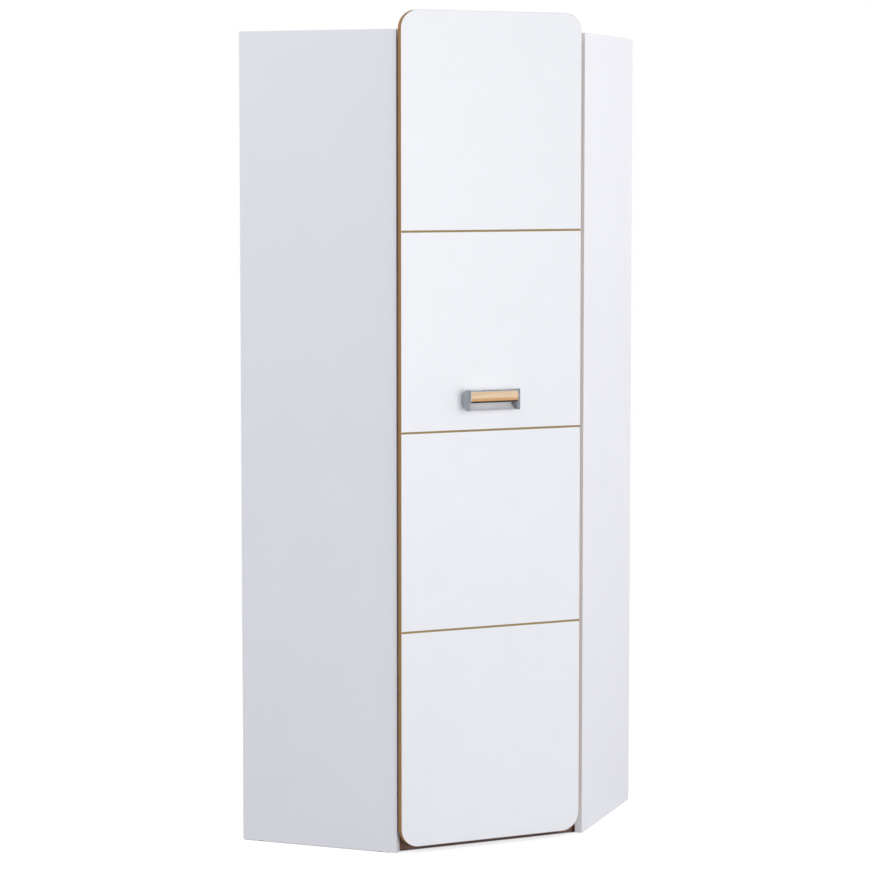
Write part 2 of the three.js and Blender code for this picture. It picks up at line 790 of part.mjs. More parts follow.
function hingeArm(height, name) {
  const bottom = height - armWidth / 2;
  const top = height + armWidth / 2;
  const half = armThickness / 2;
  const neckEnd = panelAngle + neckAngle;
  const eye = bar(eyeRadius, armWidth, at(pivot, bottom), up, fineSides);
  const across = new THREE.Vector2(-Math.sin(neckEnd), Math.cos(neckEnd)).multiplyScalar(half);
  const outer = aroundPivot(armSweep + half, neckEnd);
  const leg = prism([
    pivot.clone().add(across),
    outer.clone().add(across),
    outer.clone().sub(across),
    pivot.clone().sub(across),
  ], bottom, top);
  const bend = new THREE.Shape();
  bend.absarc(pivot.x, pivot.y, armSweep + half, panelAngle, neckEnd, false);
  bend.absarc(pivot.x, pivot.y, armSweep - half, neckEnd, panelAngle, true);
  const bendOptions = { depth: armWidth, bevelEnabled: false, curveSegments: cornerSteps };
  const neck = new THREE.ExtrudeGeometry(bend, bendOptions).translate(0, 0, bottom);
  const forwardOf = new THREE.Vector2(diagonal, diagonal).multiplyScalar(armReach);
  const inner = aroundPivot(armSweep - half, panelAngle);
  const outside = aroundPivot(armSweep + half, panelAngle);
  const straight = prism([
    inner,
    inner.clone().add(forwardOf),
    outside.clone().add(forwardOf),
    outside,
  ], bottom, top);
  const pinHoleStart = at(pivot, bottom - overrun);
  const pinHole = bar(pinRadius + seatGap, armWidth + 2 * overrun, pinHoleStart, up, smallSides);
  addPiece(name, cut(join(eye, leg, neck, straight), [pinHole]), brightSteel);
}

// Mounting plate between the arm and the right side panel

function hingePlate(height, name) {
  const pivotAlong = diagonal * (pivot.x - pivot.y + cornerDepth);
  const armSide = pivotAlong - armSweep + armThickness / 2 + seatGap;
  const seat = innerFace - seatGap;
  const front = sideDepth - plateInset;
  const middle = front - plateLength / 2;
  const blockOffs = [front - plateLength, front];
  const wingOffs = [middle - plateWingWidth / 2, middle + plateWingWidth / 2];
  const halfWidth = plateWidth / 2;
  const halfWing = plateWingLength / 2;
  const wingAlong = [seat - plateWingThickness, seat];
  const block = wallPrism(right, [armSide, seat], blockOffs, height - halfWidth, height + halfWidth);
  const wings = wallPrism(right, wingAlong, wingOffs, height - halfWing, height + halfWing);
  addPiece(name, join(block, wings), brightSteel);
}

hingeHeights.forEach((height, index) => {
  const number = index + 1;
  hingeCup(height, `hinge_cup_${number}`);
  hingePin(height, `hinge_pin_${number}`);
  hingeArm(height, `hinge_arm_${number}`);
  hingePlate(height, `hinge_plate_${number}`);
});

// The origin lies under the middle of the whole, handle and corner post included
const frontReach = doorFront - handleDepth - insertBulge;
const rearReach = plan(left, postSetback, postSetback).y;
wardrobe.position.y = -(frontReach + rearReach) / 2;

const object = new THREE.Group();
object.add(wardrobe);

export default object;
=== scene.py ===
import math

import bmesh
import bpy
from mathutils import Matrix, Vector


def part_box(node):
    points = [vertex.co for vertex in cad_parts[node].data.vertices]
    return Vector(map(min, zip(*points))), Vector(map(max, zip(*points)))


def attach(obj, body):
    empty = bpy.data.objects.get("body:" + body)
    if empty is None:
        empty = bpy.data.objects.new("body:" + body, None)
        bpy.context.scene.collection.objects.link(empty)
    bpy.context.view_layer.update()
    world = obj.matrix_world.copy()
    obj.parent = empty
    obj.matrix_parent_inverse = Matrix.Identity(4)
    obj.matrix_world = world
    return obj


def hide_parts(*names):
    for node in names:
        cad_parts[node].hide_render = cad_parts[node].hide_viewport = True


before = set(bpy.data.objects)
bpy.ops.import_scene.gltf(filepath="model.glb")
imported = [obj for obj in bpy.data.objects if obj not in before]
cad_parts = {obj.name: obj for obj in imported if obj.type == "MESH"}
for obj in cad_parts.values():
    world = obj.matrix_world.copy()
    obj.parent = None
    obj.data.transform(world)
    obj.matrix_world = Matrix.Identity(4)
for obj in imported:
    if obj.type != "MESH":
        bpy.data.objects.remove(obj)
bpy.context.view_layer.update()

# Corner wardrobe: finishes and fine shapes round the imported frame, in metres.
# The door faces -Y, the room corner lies towards +Y, and both walls slant at 45 degrees.

MM = 0.001
SLANT = math.sqrt(0.5)
LEFT, RIGHT = -1, 1
SIDES = ((LEFT, "left"), (RIGHT, "right"))

# Above this cosine an edge or a normal counts as parallel to an axis, and above the second as exactly so
ALONG = 0.9
EXACT = 0.99
# Degrees of turn: edges that are rounded, shading that stays smooth, and faces that count as one
ROUNDED_TURN = 30
SMOOTH_TURN = 32
FLAT_TURN = 1
# Places closer than these count as near, as on one face and as one point
NEAR = MM / 10
ON_FACE = MM / 100
SAME_POINT = MM / 1000
# Steps of a rounded edge, on larger and on small pieces
ROUND_STEPS = 3
SMALL_STEPS = 2

# Boards
ARRIS = 0.7 * MM
FOIL_OVER_ARRIS = 0.5
HARDBOARD_ARRIS = 0.3 * MM
TIMBER_ARRIS = 1.5 * MM

# Door leaf
DOOR_CORNER = 45 * MM
DOOR_CORNER_STEPS = 20
DOOR_ROUND = 2 * MM
DOOR_ROUND_STEPS = 6
FOIL_OVER_UPRIGHT_RIM = 0.87
FOIL_OVER_LEVEL_RIM = 0.1
LEVEL_RIM_SLOPE = 3
GROOVE_SPACING = 473 * MM
GROOVE_MOUTH = 5 * MM
GROOVE_FLOOR = 2.4 * MM
GROOVE_DEPTH = 3 * MM
GROOVE_LIP = 0.5 * MM
GROOVE_LIP_STEPS = 3
GROOVE_FLOOR_ROUND = GROOVE_FLOOR / 3
GROOVE_FLOOR_STEPS = 4
BORE_GAP = 0.3 * MM
OVERRUN = 2 * MM

# Handle
TROUGH_WALL = 2 * MM
TROUGH_LIP = 0.8 * MM
TROUGH_LIP_STEPS = 4
SEAT_CUT = 0.8 * MM
CAP_ROUND = 1.1 * MM
CAP_ROUND_STEPS = 5
# How far the caps' front faces turn before they take the darker zinc, which is painted shade
SHADE_OVER_CAP_FRONT = 0.7
BOSS_RADIUS = 5 * MM
BOSS_HEIGHT = 7 * MM
BOSS_SPACING = 96 * MM
SHANK_RADIUS = 2 * MM
GRIP_ROUND = 0.8 * MM
GRIP_ROUND_STEPS = 4
# Height of the band along the grip's lower edge drawn almost black as painted shade
UNDER_GRIP_SHADE_HEIGHT = 3.8 * MM
BAR_RIM_HEIGHT = 1.8 * MM
# Height of the orange band painted as shade along the grip's lower edge
LOWER_SHADE_HEIGHT = 12 * MM
OVAL_SIDES = 96

# Hinges
HINGE_NUMBERS = range(1, 5)
CUP_RADIUS = 17.5 * MM
CUP_DEPTH = 12.5 * MM
CUP_WALL = 1 * MM
FLANGE_RADIUS = 19 * MM
FLANGE_THICKNESS = 1.2 * MM
WING_WIDTH = 15 * MM
WING_CORNER = 6.8 * MM
WING_CORNER_STEPS = 8
CUP_ROUND = 0.35 * MM
CUP_SIDES = 64
ARM_ROUND = 0.4 * MM
PLATE_ROUND = 0.6 * MM
CUP_SCREW_REACH = 24.5 * MM
PLATE_LENGTH = 44 * MM
PLATE_SCREW_REACH = 17 * MM
ARM_SCREW_REACH = 13 * MM
ARM_THICKNESS = 3 * MM
SEAT_GAP = 0.3 * MM
PLATE_WING_THICKNESS = 2.5 * MM

# Clothes rail
RAIL_WALL = 1.2 * MM
RAIL_CAP_THICKNESS = 2.5 * MM
RAIL_CAP_ROUND = 0.6 * MM
RAIL_ROUND_SHARE = 0.999
RAIL_ROUND_STEPS = 14
HANGER_ROUND = 0.6 * MM
HANGER_SCREWS = 3
HANGER_SCREW_REACH = 15 * MM
HANGER_FLANGE_HEIGHT = 4 * MM

# Wall brackets
BRACKET_WIDTH = 30 * MM
BRACKET_THICKNESS = 2 * MM
BRACKET_SCREW_REACH = 36 * MM
BRACKET_ROUND = 0.4 * MM

# Small fittings
SUPPORT_ROUND = 0.5 * MM
GLIDE_ROUND = 0.5 * MM
CAM_SLOT_REACH = 4 * MM
CAM_SLOT_HALF = 0.8 * MM
CAM_SLOT_DEPTH = 2 * MM
BUFFER_ROUND = 2.2 * MM
BUFFER_ROUND_STEPS = 5
SMALL_SIDES = 32

# Screw heads
SCREW_RADIUS = 3.6 * MM
SCREW_HEIGHT = 1.8 * MM
HANDLE_SCREW_RADIUS = 4.5 * MM
HANDLE_SCREW_HEIGHT = 2.4 * MM
HEAD_ROUND_SHARE = 0.55
HEAD_ROUND_STEPS = 4
SHANK_SIDES = 24
RECESS_WIDTH_SHARE = 0.24
RECESS_LENGTH_SHARE = 1.15

# Camera: its turns in degrees, its lens and sensor in millimetres
CAMERA_PLACE = (-2926.5 * MM, -6477.9 * MM, 1644.8 * MM)
CAMERA_YAW = 24.479
CAMERA_PITCH = 4.64
CAMERA_LENS = 117.81
CAMERA_SHIFT_UP = -0.05
CAMERA_SENSOR = 36
CAMERA_REACH = 100

# Floor: it glows towards the camera outside the wardrobe's foot and fades to white further out.
# Metres from the middle: where the foot ends and where the glow is full, to the sides, front and wall
FLOOR_SIZE = 80
FLOOR_GLOW = 0.7
FADE_START, FADE_END = 0.8, 3.0
FOOT_SIDE, GLOW_SIDE = 0.6, 0.625
FOOT_FRONT, GLOW_FRONT = -0.35, -0.358
FOOT_WALL, GLOW_WALL = 0.42, 0.44

# Light: the world's strength, then each lamp's place, aim, side length, power and colour
WORLD_LIGHT = 0.57
LAMPS = {
    "front": ((1.0, -6.0, 1.6), (0, -0.2, 1.2), 3.0, 120, "fffefc"),
    "right": ((5.0, -0.6, 1.4), (0.2, -0.1, 0.8), 4.0, 82, "fffefb"),
    "left": ((-3.4, -0.4, 2.9), (-0.4, -0.2, 1.2), 2.2, 32, "fcfcff"),
}


# Modelling by hand


def deselect_all():
    bpy.ops.object.select_all(action="DESELECT")


def activate(piece):
    deselect_all()
    piece.select_set(True)
    bpy.context.view_layer.objects.active = piece


def open_mesh(piece):
    """Opens a piece for editing with nothing selected in it."""
    activate(piece)
    bpy.ops.object.mode_set(mode="EDIT")
    bpy.ops.mesh.select_all(action="DESELECT")


def close_mesh():
    bpy.ops.object.mode_set(mode="OBJECT")


def pick_edges(piece, test):
    """Selects just the edges whose middle and direction pass the test."""
    bpy.ops.mesh.select_mode(type="EDGE")
    bpy.ops.mesh.select_all(action="DESELECT")
    mesh = bmesh.from_edit_mesh(piece.data)
    for edge in mesh.edges:
        start, end = (corner.co for corner in edge.verts)
        edge.select_set(test((start + end) / 2, (end - start).normalized()))
    mesh.select_flush_mode()
    bmesh.update_edit_mesh(piece.data)


def pick_faces(piece, test):
    """Selects just the faces whose middle and normal pass the test."""
    bpy.ops.mesh.select_mode(type="FACE")
    bpy.ops.mesh.select_all(action="DESELECT")
    mesh = bmesh.from_edit_mesh(piece.data)
    for face in mesh.faces:
        face.select_set(test(face.calc_center_median(), face.normal))
    bmesh.update_edit_mesh(piece.data)


def settle(name):
    """Names the new primitive and moves its place, turn and size into its mesh."""
    piece = bpy.context.object
    piece.name = name
    bpy.ops.object.transform_apply(location=True, rotation=True, scale=True)
    return piece


def add_box(name, low, high):
    deselect_all()
    low, high = Vector(low), Vector(high)
    bpy.ops.mesh.primitive_cube_add(size=1, location=(low + high) / 2, scale=high - low)
    return settle(name)


def add_rod(name, radius, start, end, sides=48):
    """A round rod between two points."""
    deselect_all()
    way = Vector(end) - Vector(start)
    middle = (Vector(start) + Vector(end)) / 2
    turn = way.to_track_quat("Z", "Y").to_euler()
    bpy.ops.mesh.primitive_cylinder_add(
        vertices=sides, radius=radius, depth=way.length, location=middle, rotation=turn
    )
    return settle(name)


def combine(piece, tools, operation):
    """Cuts the tools out of the piece, or welds them to it, one after another."""
    for tool in tools:
        step = piece.modifiers.new(operation.lower(), "BOOLEAN")
        step.object = tool
        step.operation = operation
        step.solver = "EXACT"
        activate(piece)
        bpy.ops.object.modifier_apply(modifier=step.name)
        bpy.data.objects.remove(tool)


def round_edges(piece, width, segments=ROUND_STEPS):
    """Rounds every edge that turns by more than a slight angle."""
    rounding = piece.modifiers.new("rounding", "BEVEL")
    rounding.width = width
    rounding.segments = segments
    rounding.limit_method = "ANGLE"
    rounding.angle_limit = math.radians(ROUNDED_TURN)
    activate(piece)
    bpy.ops.object.modifier_apply(modifier=rounding.name)


def copy_of_node(node):
    """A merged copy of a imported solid, without the edges that cross its flat faces."""
    piece = bpy.data.objects.new(f"{node}_finished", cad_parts[node].data.copy())
    bpy.context.scene.collection.objects.link(piece)
    piece.data.materials.clear()
    activate(piece)
    bpy.ops.mesh.customdata_custom_splitnormals_clear()
    open_mesh(piece)
    bpy.ops.mesh.select_all(action="SELECT")
    bpy.ops.mesh.remove_doubles(threshold=SAME_POINT)
    bpy.ops.mesh.dissolve_limited(angle_limit=math.radians(FLAT_TURN))
    close_mesh()
    return piece


def copy_to(original, name, place, way=None):
    """A copy, with its own mesh, of a piece modelled at the origin towards +Z: moved and turned."""
    piece = bpy.data.objects.new(name, original.data.copy())
    bpy.context.scene.collection.objects.link(piece)
    turn = Vector(way).to_track_quat("Z", "Y").to_matrix().to_4x4() if way else Matrix.Identity(4)
    piece.matrix_world = Matrix.Translation(place) @ turn
    activate(piece)
    bpy.ops.object.transform_apply(location=True, rotation=True, scale=True)
    return piece


def join_pieces(name, pieces):
    """Several separate solids as one piece."""
    activate(pieces[0])
    for piece in pieces[1:]:
        piece.select_set(True)
    if len(pieces) > 1:
        bpy.ops.object.join()
    pieces[0].name = name
    return pieces[0]


def paint(piece, materials, choose=None):
    """Gives each face the material whose number is chosen from its middle and normal."""
    for material in materials:
        piece.data.materials.append(material)
    for face in piece.data.polygons:
        face.material_index = choose(face.center, face.normal) if choose else 0


def finish_piece(piece, body, slot, *nodes):
    """Shades a piece smooth over its rounded edges, keeps its flat faces flat and gives it to its body."""
    activate(piece)
    bpy.ops.object.shade_smooth_by_angle(angle=math.radians(SMOOTH_TURN))
    weighting = piece.modifiers.new("weighting", "WEIGHTED_NORMAL")
    weighting.keep_sharp = True
    bpy.ops.object.modifier_apply(modifier=weighting.name)
    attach(piece, body)
    if nodes:
        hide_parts(*nodes)


def dress_node(node, material):
    """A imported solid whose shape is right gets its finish."""
    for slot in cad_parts[node].material_slots:
        slot.material = material


# Materials


def linear(colour):
    """An sRGB hex colour as linear RGBA."""
    channels = [int(colour[start:start + 2], 16) / 255 for start in (0, 2, 4)]
    curve = [c / 12.92 if c <= 0.04045 else ((c + 0.055) / 1.055) ** 2.4 for c in channels]
    return (*curve, 1.0)


def add_node(tree, kind, inputs=None, **settings):
    """Adds a node with its settings; an input is a value or the output of another node."""
    made = tree.nodes.new(f"ShaderNode{kind}")
    for name, value in settings.items():
        setattr(made, name, value)
    for name, value in (inputs or {}).items():
        if isinstance(value, bpy.types.NodeSocket):
            tree.links.new(value, made.inputs[name])
        else:
            made.inputs[name].default_value = value
    return made


def start_material(name):
    material = bpy.data.materials.new(name)
    material.use_nodes = True
    tree = material.node_tree
    tree.nodes.clear()
    place = add_node(tree, "TexCoord").outputs["Object"]
    return material, tree, place


def end_material(material, inputs):
    tree = material.node_tree
    shader = add_node(tree, "BsdfPrincipled", inputs)
    add_node(tree, "OutputMaterial", {"Surface": shader.outputs["BSDF"]})
    return material


def melamine_foil():
    # Melamine foil pressed on chipboard: an even cool white, satin, with a fine pearl in its gloss
    material, tree, place = start_material("melamine_foil")
    cloud = add_node(tree, "TexNoise", {"Vector": place, "Scale": 1 / (220 * MM), "Detail": 2.0})
    # The real pearl is 0.3 mm across; it is drawn at 1.5 mm to show
    pearl = add_node(tree, "TexNoise", {"Vector": place, "Scale": 1 / (1.5 * MM), "Detail": 1.0})
    tint_mix = {0: cloud.outputs["Fac"], 6: linear("e6e7eb"), 7: linear("ebecef")}
    tint = add_node(tree, "Mix", tint_mix, data_type="RGBA")
    gloss = add_node(tree, "MapRange", {"Value": pearl.outputs["Fac"], "To Min": 0.36, "To Max": 0.5})
    relief = add_node(tree, "Bump", {"Height": pearl.outputs["Fac"], "Distance": 0.03 * MM})
    return end_material(material, {
        "Base Color": tint.outputs[2],
        "Roughness": gloss.outputs["Result"],
        "Normal": relief.outputs["Normal"],
    })


def edge_band():
    # Thin ABS band glued on the front edges: smoother than the foil, with faint planing lines along it
    material, tree, place = start_material("abs_edge_band")
    stretch = {"Vector": place, "Scale": (0.6 * MM, 0.6 * MM, 240 * MM)}
    lines = add_node(tree, "Mapping", stretch, vector_type="TEXTURE")
    planing = add_node(tree, "TexNoise", {"Vector": lines.outputs["Vector"], "Scale": 1.0})
    tint_mix = {0: planing.outputs["Fac"], 6: linear("f0f0f3"), 7: linear("f8f8fa")}
    tint = add_node(tree, "Mix", tint_mix, data_type="RGBA")
    gloss = add_node(tree, "MapRange", {"Value": planing.outputs["Fac"], "To Min": 0.3, "To Max": 0.42})
    return end_material(material, {
        "Base Color": tint.outputs[2],
        "Roughness": gloss.outputs["Result"],
    })


def door_foil():
    # Smooth white foil on fibreboard: brighter and glossier than the boards, with a very slight swell
    material, tree, place = start_material("door_foil")
    swell = add_node(tree, "TexNoise", {"Vector": place, "Scale": 1 / (60 * MM), "Detail": 1.0})
    pearl = add_node(tree, "TexNoise", {"Vector": place, "Scale": 1 / (1.2 * MM), "Detail": 1.0})
    tint_mix = {0: swell.outputs["Fac"], 6: linear("eff1f3"), 7: linear("f3f4f6")}
    tint = add_node(tree, "Mix", tint_mix, data_type="RGBA")
    gloss = add_node(tree, "MapRange", {"Value": pearl.outputs["Fac"], "To Min": 0.26, "To Max": 0.36})
    relief = add_node(tree, "Bump", {"Height": swell.outputs["Fac"], "Distance": 0.12 * MM})
    return end_material(material, {
        "Base Color": tint.outputs[2],
        "Roughness": gloss.outputs["Result"],
        "Normal": relief.outputs["Normal"],
    })


def lacquered_fibreboard(name, dark, light, patch_colour, roughness):
    """Milled fibreboard under clear lacquer, in two shades of fibre and a patch colour; drawn near black,
    it also serves as painted shade.
    """
    material, tree, place = start_material(name)
    # Real fibres are 0.1 mm thick; they are drawn at 0.7 mm to show
    fibre_size = {"Vector": place, "Scale": (0.7 * MM, 0.7 * MM, 5 * MM)}
    fibres = add_node(tree, "Mapping", fibre_size, vector_type="TEXTURE")
    fine = add_node(tree, "TexNoise", {"Vector": fibres.outputs["Vector"], "Scale": 1.0, "Detail": 3.0})
    patch = add_node(tree, "TexNoise", {"Vector": place, "Scale": 1 / (35 * MM), "Detail": 2.0})
    fibre_mix = {0: fine.outputs["Fac"], 6: linear(dark), 7: linear(light)}
    fibre_tint = add_node(tree, "Mix", fibre_mix, data_type="RGBA")
    patch_mix = {0: patch.outputs["Fac"], 6: linear(patch_colour), 7: fibre_tint.outputs[2]}
    tint = add_node(tree, "Mix", patch_mix, data_type="RGBA")
    relief = add_node(tree, "Bump", {"Height": fine.outputs["Fac"], "Distance": 0.05 * MM})
    return end_material(material, {
        "Base Color": tint.outputs[2],
        "Roughness": roughness,
        "Specular IOR Level": 0.35,
        "Normal": relief.outputs["Normal"],
    })


def chipboard_edge():
    # Sawn chipboard: pale and dark wood chips of one to four millimetres in a dull tan bed
    material, tree, place = start_material("sawn_chipboard")
    chip_size = {"Vector": place, "Scale": (3.2 * MM, 3.2 * MM, 1.6 * MM)}
    chips = add_node(tree, "Mapping", chip_size, vector_type="TEXTURE")
    cells = add_node(tree, "TexVoronoi", {"Vector": chips.outputs["Vector"], "Scale": 1.0})
    grey = add_node(tree, "SeparateColor", {"Color": cells.outputs["Color"]})
    dust = add_node(tree, "TexNoise", {"Vector": place, "Scale": 1 / (0.8 * MM), "Detail": 2.0})
    chip_mix = {0: grey.outputs["Red"], 6: linear("a37c4d"), 7: linear("dcc08c")}
    chip_tint = add_node(tree, "Mix", chip_mix, data_type="RGBA")
    dust_mix = {0: dust.outputs["Fac"], 6: linear("8d6b42"), 7: chip_tint.outputs[2]}
    tint = add_node(tree, "Mix", dust_mix, data_type="RGBA")
    relief = add_node(tree, "Bump", {"Height": cells.outputs["Distance"], "Distance": 0.3 * MM})
    return end_material(material, {
        "Base Color": tint.outputs[2],
        "Roughness": 0.85,
        "Normal": relief.outputs["Normal"],
    })


def plinth_foil():
    # Reddish-brown wood-grain foil: long darker pores along the plinth, satin
    material, tree, place = start_material("wood_grain_foil")
    long_size = {"Vector": place, "Scale": (120 * MM, 4 * MM, 4 * MM)}
    long_grain = add_node(tree, "Mapping", long_size, vector_type="TEXTURE")
    vein_noise = {"Vector": long_grain.outputs["Vector"], "Scale": 1.0, "Detail": 4.0}
    veins = add_node(tree, "TexNoise", vein_noise)
    pore_size = {"Vector": place, "Scale": (14 * MM, 0.9 * MM, 0.9 * MM)}
    short_grain = add_node(tree, "Mapping", pore_size, vector_type="TEXTURE")
    pore_noise = {"Vector": short_grain.outputs["Vector"], "Scale": 1.0, "Detail": 1.0}
    pores = add_node(tree, "TexNoise", pore_noise)
    vein_mix = {0: veins.outputs["Fac"], 6: linear("7a5140"), 7: linear("a98069")}
    vein_tint = add_node(tree, "Mix", vein_mix, data_type="RGBA")
    deep = add_node(tree, "MapRange", {"Value": pores.outputs["Fac"], "From Min": 0.36, "From Max": 0.5})
    pore_mix = {0: deep.outputs["Result"], 6: linear("65412f"), 7: vein_tint.outputs[2]}
    tint = add_node(tree, "Mix", pore_mix, data_type="RGBA")
    relief = add_node(tree, "Bump", {"Height": deep.outputs["Result"], "Distance": 0.05 * MM})
    return end_material(material, {
        "Base Color": tint.outputs[2],
        "Roughness": 0.48,
        "Normal": relief.outputs["Normal"],
    })


def hardboard_back():
    # Rough side of hardboard: brown matted fibres with the press screen's square imprint
    material, tree, place = start_material("hardboard_screen_side")
    # The real screen has a 1.3 mm pitch; it is drawn at 3 mm to show
    turned = add_node(tree, "Mapping", {"Vector": place, "Rotation": (0, 0, math.radians(45))})
    screen_grid = {"Vector": turned.outputs["Vector"], "Scale": 1 / (3 * MM), "Randomness": 0.1}
    screen = add_node(tree, "TexVoronoi", screen_grid)
    matted = add_node(tree, "TexNoise", {"Vector": place, "Scale": 1 / (9 * MM), "Detail": 5.0})
    tint_mix = {0: matted.outputs["Fac"], 6: linear("6d4c30"), 7: linear("a27a50")}
    tint = add_node(tree, "Mix", tint_mix, data_type="RGBA")
    dent_mix = {0: screen.outputs["Distance"], 6: tint.outputs[2], 7: linear("7d5a3a")}
    dents = add_node(tree, "Mix", dent_mix, data_type="RGBA")
    relief = add_node(tree, "Bump", {"Height": screen.outputs["Distance"], "Distance": 0.4 * MM})
    return end_material(material, {
        "Base Color": dents.outputs[2],
        "Roughness": 0.8,
        "Normal": relief.outputs["Normal"],
    })


def hardboard_face():
    # Smooth side of hardboard under thin white paint: slightly warm, with fibres that lift the paint
    material, tree, place = start_material("painted_hardboard")
    fibres = add_node(tree, "TexNoise", {"Vector": place, "Scale": 1 / (2.5 * MM), "Detail": 4.0})
    tint_mix = {0: fibres.outputs["Fac"], 6: linear("dddad5"), 7: linear("e9e8e6")}
    tint = add_node(tree, "Mix", tint_mix, data_type="RGBA")
    relief = add_node(tree, "Bump", {"Height": fibres.outputs["Fac"], "Distance": 0.06 * MM})
    return end_material(material, {
        "Base Color": tint.outputs[2],
        "Roughness": 0.55,
        "Normal": relief.outputs["Normal"],
    })


def planed_pine(name, turn, sizes):
    # Planed pine: pale yellow early wood, thin darker late-wood lines, dull
    material, tree, place = start_material(name)
    grain_size = {"Vector": place, "Rotation": turn, "Scale": sizes}
    grain = add_node(tree, "Mapping", grain_size, vector_type="TEXTURE")
    rings = add_node(tree, "TexNoise", {"Vector": grain.outputs["Vector"], "Scale": 1.0, "Detail": 2.0})
    bands = add_node(tree, "Math", {0: rings.outputs["Fac"], 1: 9.0}, operation="MULTIPLY")
    waves = add_node(tree, "Math", {0: bands.outputs["Value"], 1: 1.0}, operation="PINGPONG")
    late = add_node(tree, "Math", {0: waves.outputs["Value"], 1: 3.0}, operation="POWER")
    tint_mix = {0: late.outputs["Value"], 6: linear("dcc195"), 7: linear("b98a55")}
    tint = add_node(tree, "Mix", tint_mix, data_type="RGBA")
    relief = add_node(tree, "Bump", {"Height": late.outputs["Value"], "Distance": 0.06 * MM})
    return end_material(material, {
        "Base Color": tint.outputs[2],
        "Roughness": 0.6,
        "Normal": relief.outputs["Normal"],
    })


def lacquered_beech():
    # Lacquered beech: pale wood with soft lengthwise stripes, short dark ray flecks and a clear coat; along
    # the bar's lower edge it is drawn more orange as painted shade
    material, tree, place = start_material("lacquered_beech")
    stripe_size = {"Vector": place, "Scale": (90 * MM, 6 * MM, 6 * MM)}
    stripe_grain = add_node(tree, "Mapping", stripe_size, vector_type="TEXTURE")
    stripe_noise = {"Vector": stripe_grain.outputs["Vector"], "Scale": 1.0, "Detail": 3.0}
    stripes = add_node(tree, "TexNoise", stripe_noise)
    fleck_size = {"Vector": place, "Scale": (3.2 * MM, 0.5 * MM, 0.5 * MM)}
    fleck_grain = add_node(tree, "Mapping", fleck_size, vector_type="TEXTURE")
    flecks = add_node(tree, "TexNoise", {"Vector": fleck_grain.outputs["Vector"], "Scale": 1.0})
    fleck_range = {"Value": flecks.outputs["Fac"], "From Min": 0.62, "From Max": 0.7}
    fleck_mask = add_node(tree, "MapRange", fleck_range)
    stripe_mix = {0: stripes.outputs["Fac"], 6: linear("c89b68"), 7: linear("fae6c2")}
    stripe_tint = add_node(tree, "Mix", stripe_mix, data_type="RGBA")
    height = add_node(tree, "SeparateXYZ", {0: place})
    wander_size = {0: stripes.outputs["Fac"], 1: 4 * MM, 2: height.outputs["Z"]}
    wander = add_node(tree, "Math", wander_size, operation="MULTIPLY_ADD")
    # Below this height the wood is drawn orange: painted shade along the bar's lower edge
    shade_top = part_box("handle_grip")[0].z + LOWER_SHADE_HEIGHT
    shade_range = {"Value": wander.outputs["Value"], "From Min": shade_top + MM, "From Max": shade_top - MM}
    lower_shade = add_node(tree, "MapRange", shade_range)
    shade_mix = {0: lower_shade.outputs["Result"], 6: stripe_tint.outputs[2], 7: linear("dda86e")}
    shade_tint = add_node(tree, "Mix", shade_mix, data_type="RGBA")
    fleck_mix = {0: fleck_mask.outputs["Result"], 6: shade_tint.outputs[2], 7: linear("b07d48")}
    tint = add_node(tree, "Mix", fleck_mix, data_type="RGBA")
    relief = add_node(tree, "Bump", {"Height": stripes.outputs["Fac"], "Distance": 0.05 * MM})
    return end_material(material, {
        "Base Color": tint.outputs[2],
        "Roughness": 0.42,
        "Normal": relief.outputs["Normal"],
        "Coat Weight": 0.4,
        "Coat Roughness": 0.2,
    })


def white_lacquer():
    # White lacquer on pressed aluminium: bright and even, glossy, with a fine orange-peel swell
    material, tree, place = start_material("white_lacquered_aluminium")
    flakes = add_node(tree, "TexNoise", {"Vector": place, "Scale": 1 / (1.5 * MM), "Detail": 1.0})
    tint_mix = {0: flakes.outputs["Fac"], 6: linear("fafafc"), 7: linear("fefeff")}
    tint = add_node(tree, "Mix", tint_mix, data_type="RGBA")
    relief = add_node(tree, "Bump", {"Height": flakes.outputs["Fac"], "Distance": 0.01 * MM})
    return end_material(material, {
        "Base Color": tint.outputs[2],
        "Roughness": 0.25,
        "Normal": relief.outputs["Normal"],
    })


def metal(name, shade, roughness, streaks, relief_depth):
    """A metal whose gloss and colour vary in streaks; their sizes and relief are in millimetres."""
    material, tree, place = start_material(name)
    streak_size = {"Vector": place, "Scale": [size * MM for size in streaks]}
    drawn = add_node(tree, "Mapping", streak_size, vector_type="TEXTURE")
    mark_noise = {"Vector": drawn.outputs["Vector"], "Scale": 1.0, "Detail": 3.0}
    marks = add_node(tree, "TexNoise", mark_noise)
    dark, light = shade
    tint_mix = {0: marks.outputs["Fac"], 6: linear(dark), 7: linear(light)}
    tint = add_node(tree, "Mix", tint_mix, data_type="RGBA")
    low, high = roughness
    gloss = add_node(tree, "MapRange", {"Value": marks.outputs["Fac"], "To Min": low, "To Max": high})
    relief = add_node(tree, "Bump", {"Height": marks.outputs["Fac"], "Distance": relief_depth * MM})
    return end_material(material, {
        "Base Color": tint.outputs[2],
        "Metallic": 1.0,
        "Roughness": gloss.outputs["Result"],
        "Normal": relief.outputs["Normal"],
    })


def moulded_plastic():
    # Moulded polyamide: mid grey with a fine spark-eroded grain
    material, tree, place = start_material("moulded_polyamide")
    grain = add_node(tree, "TexNoise", {"Vector": place, "Scale": 1 / (0.6 * MM), "Detail": 2.0})
    tint_mix = {0: grain.outputs["Fac"], 6: linear("85868a"), 7: linear("97989c")}
    tint = add_node(tree, "Mix", tint_mix, data_type="RGBA")
    relief = add_node(tree, "Bump", {"Height": grain.outputs["Fac"], "Distance": 0.04 * MM})
    return end_material(material, {
        "Base Color": tint.outputs[2],
        "Roughness": 0.5,
        "Normal": relief.outputs["Normal"],
    })


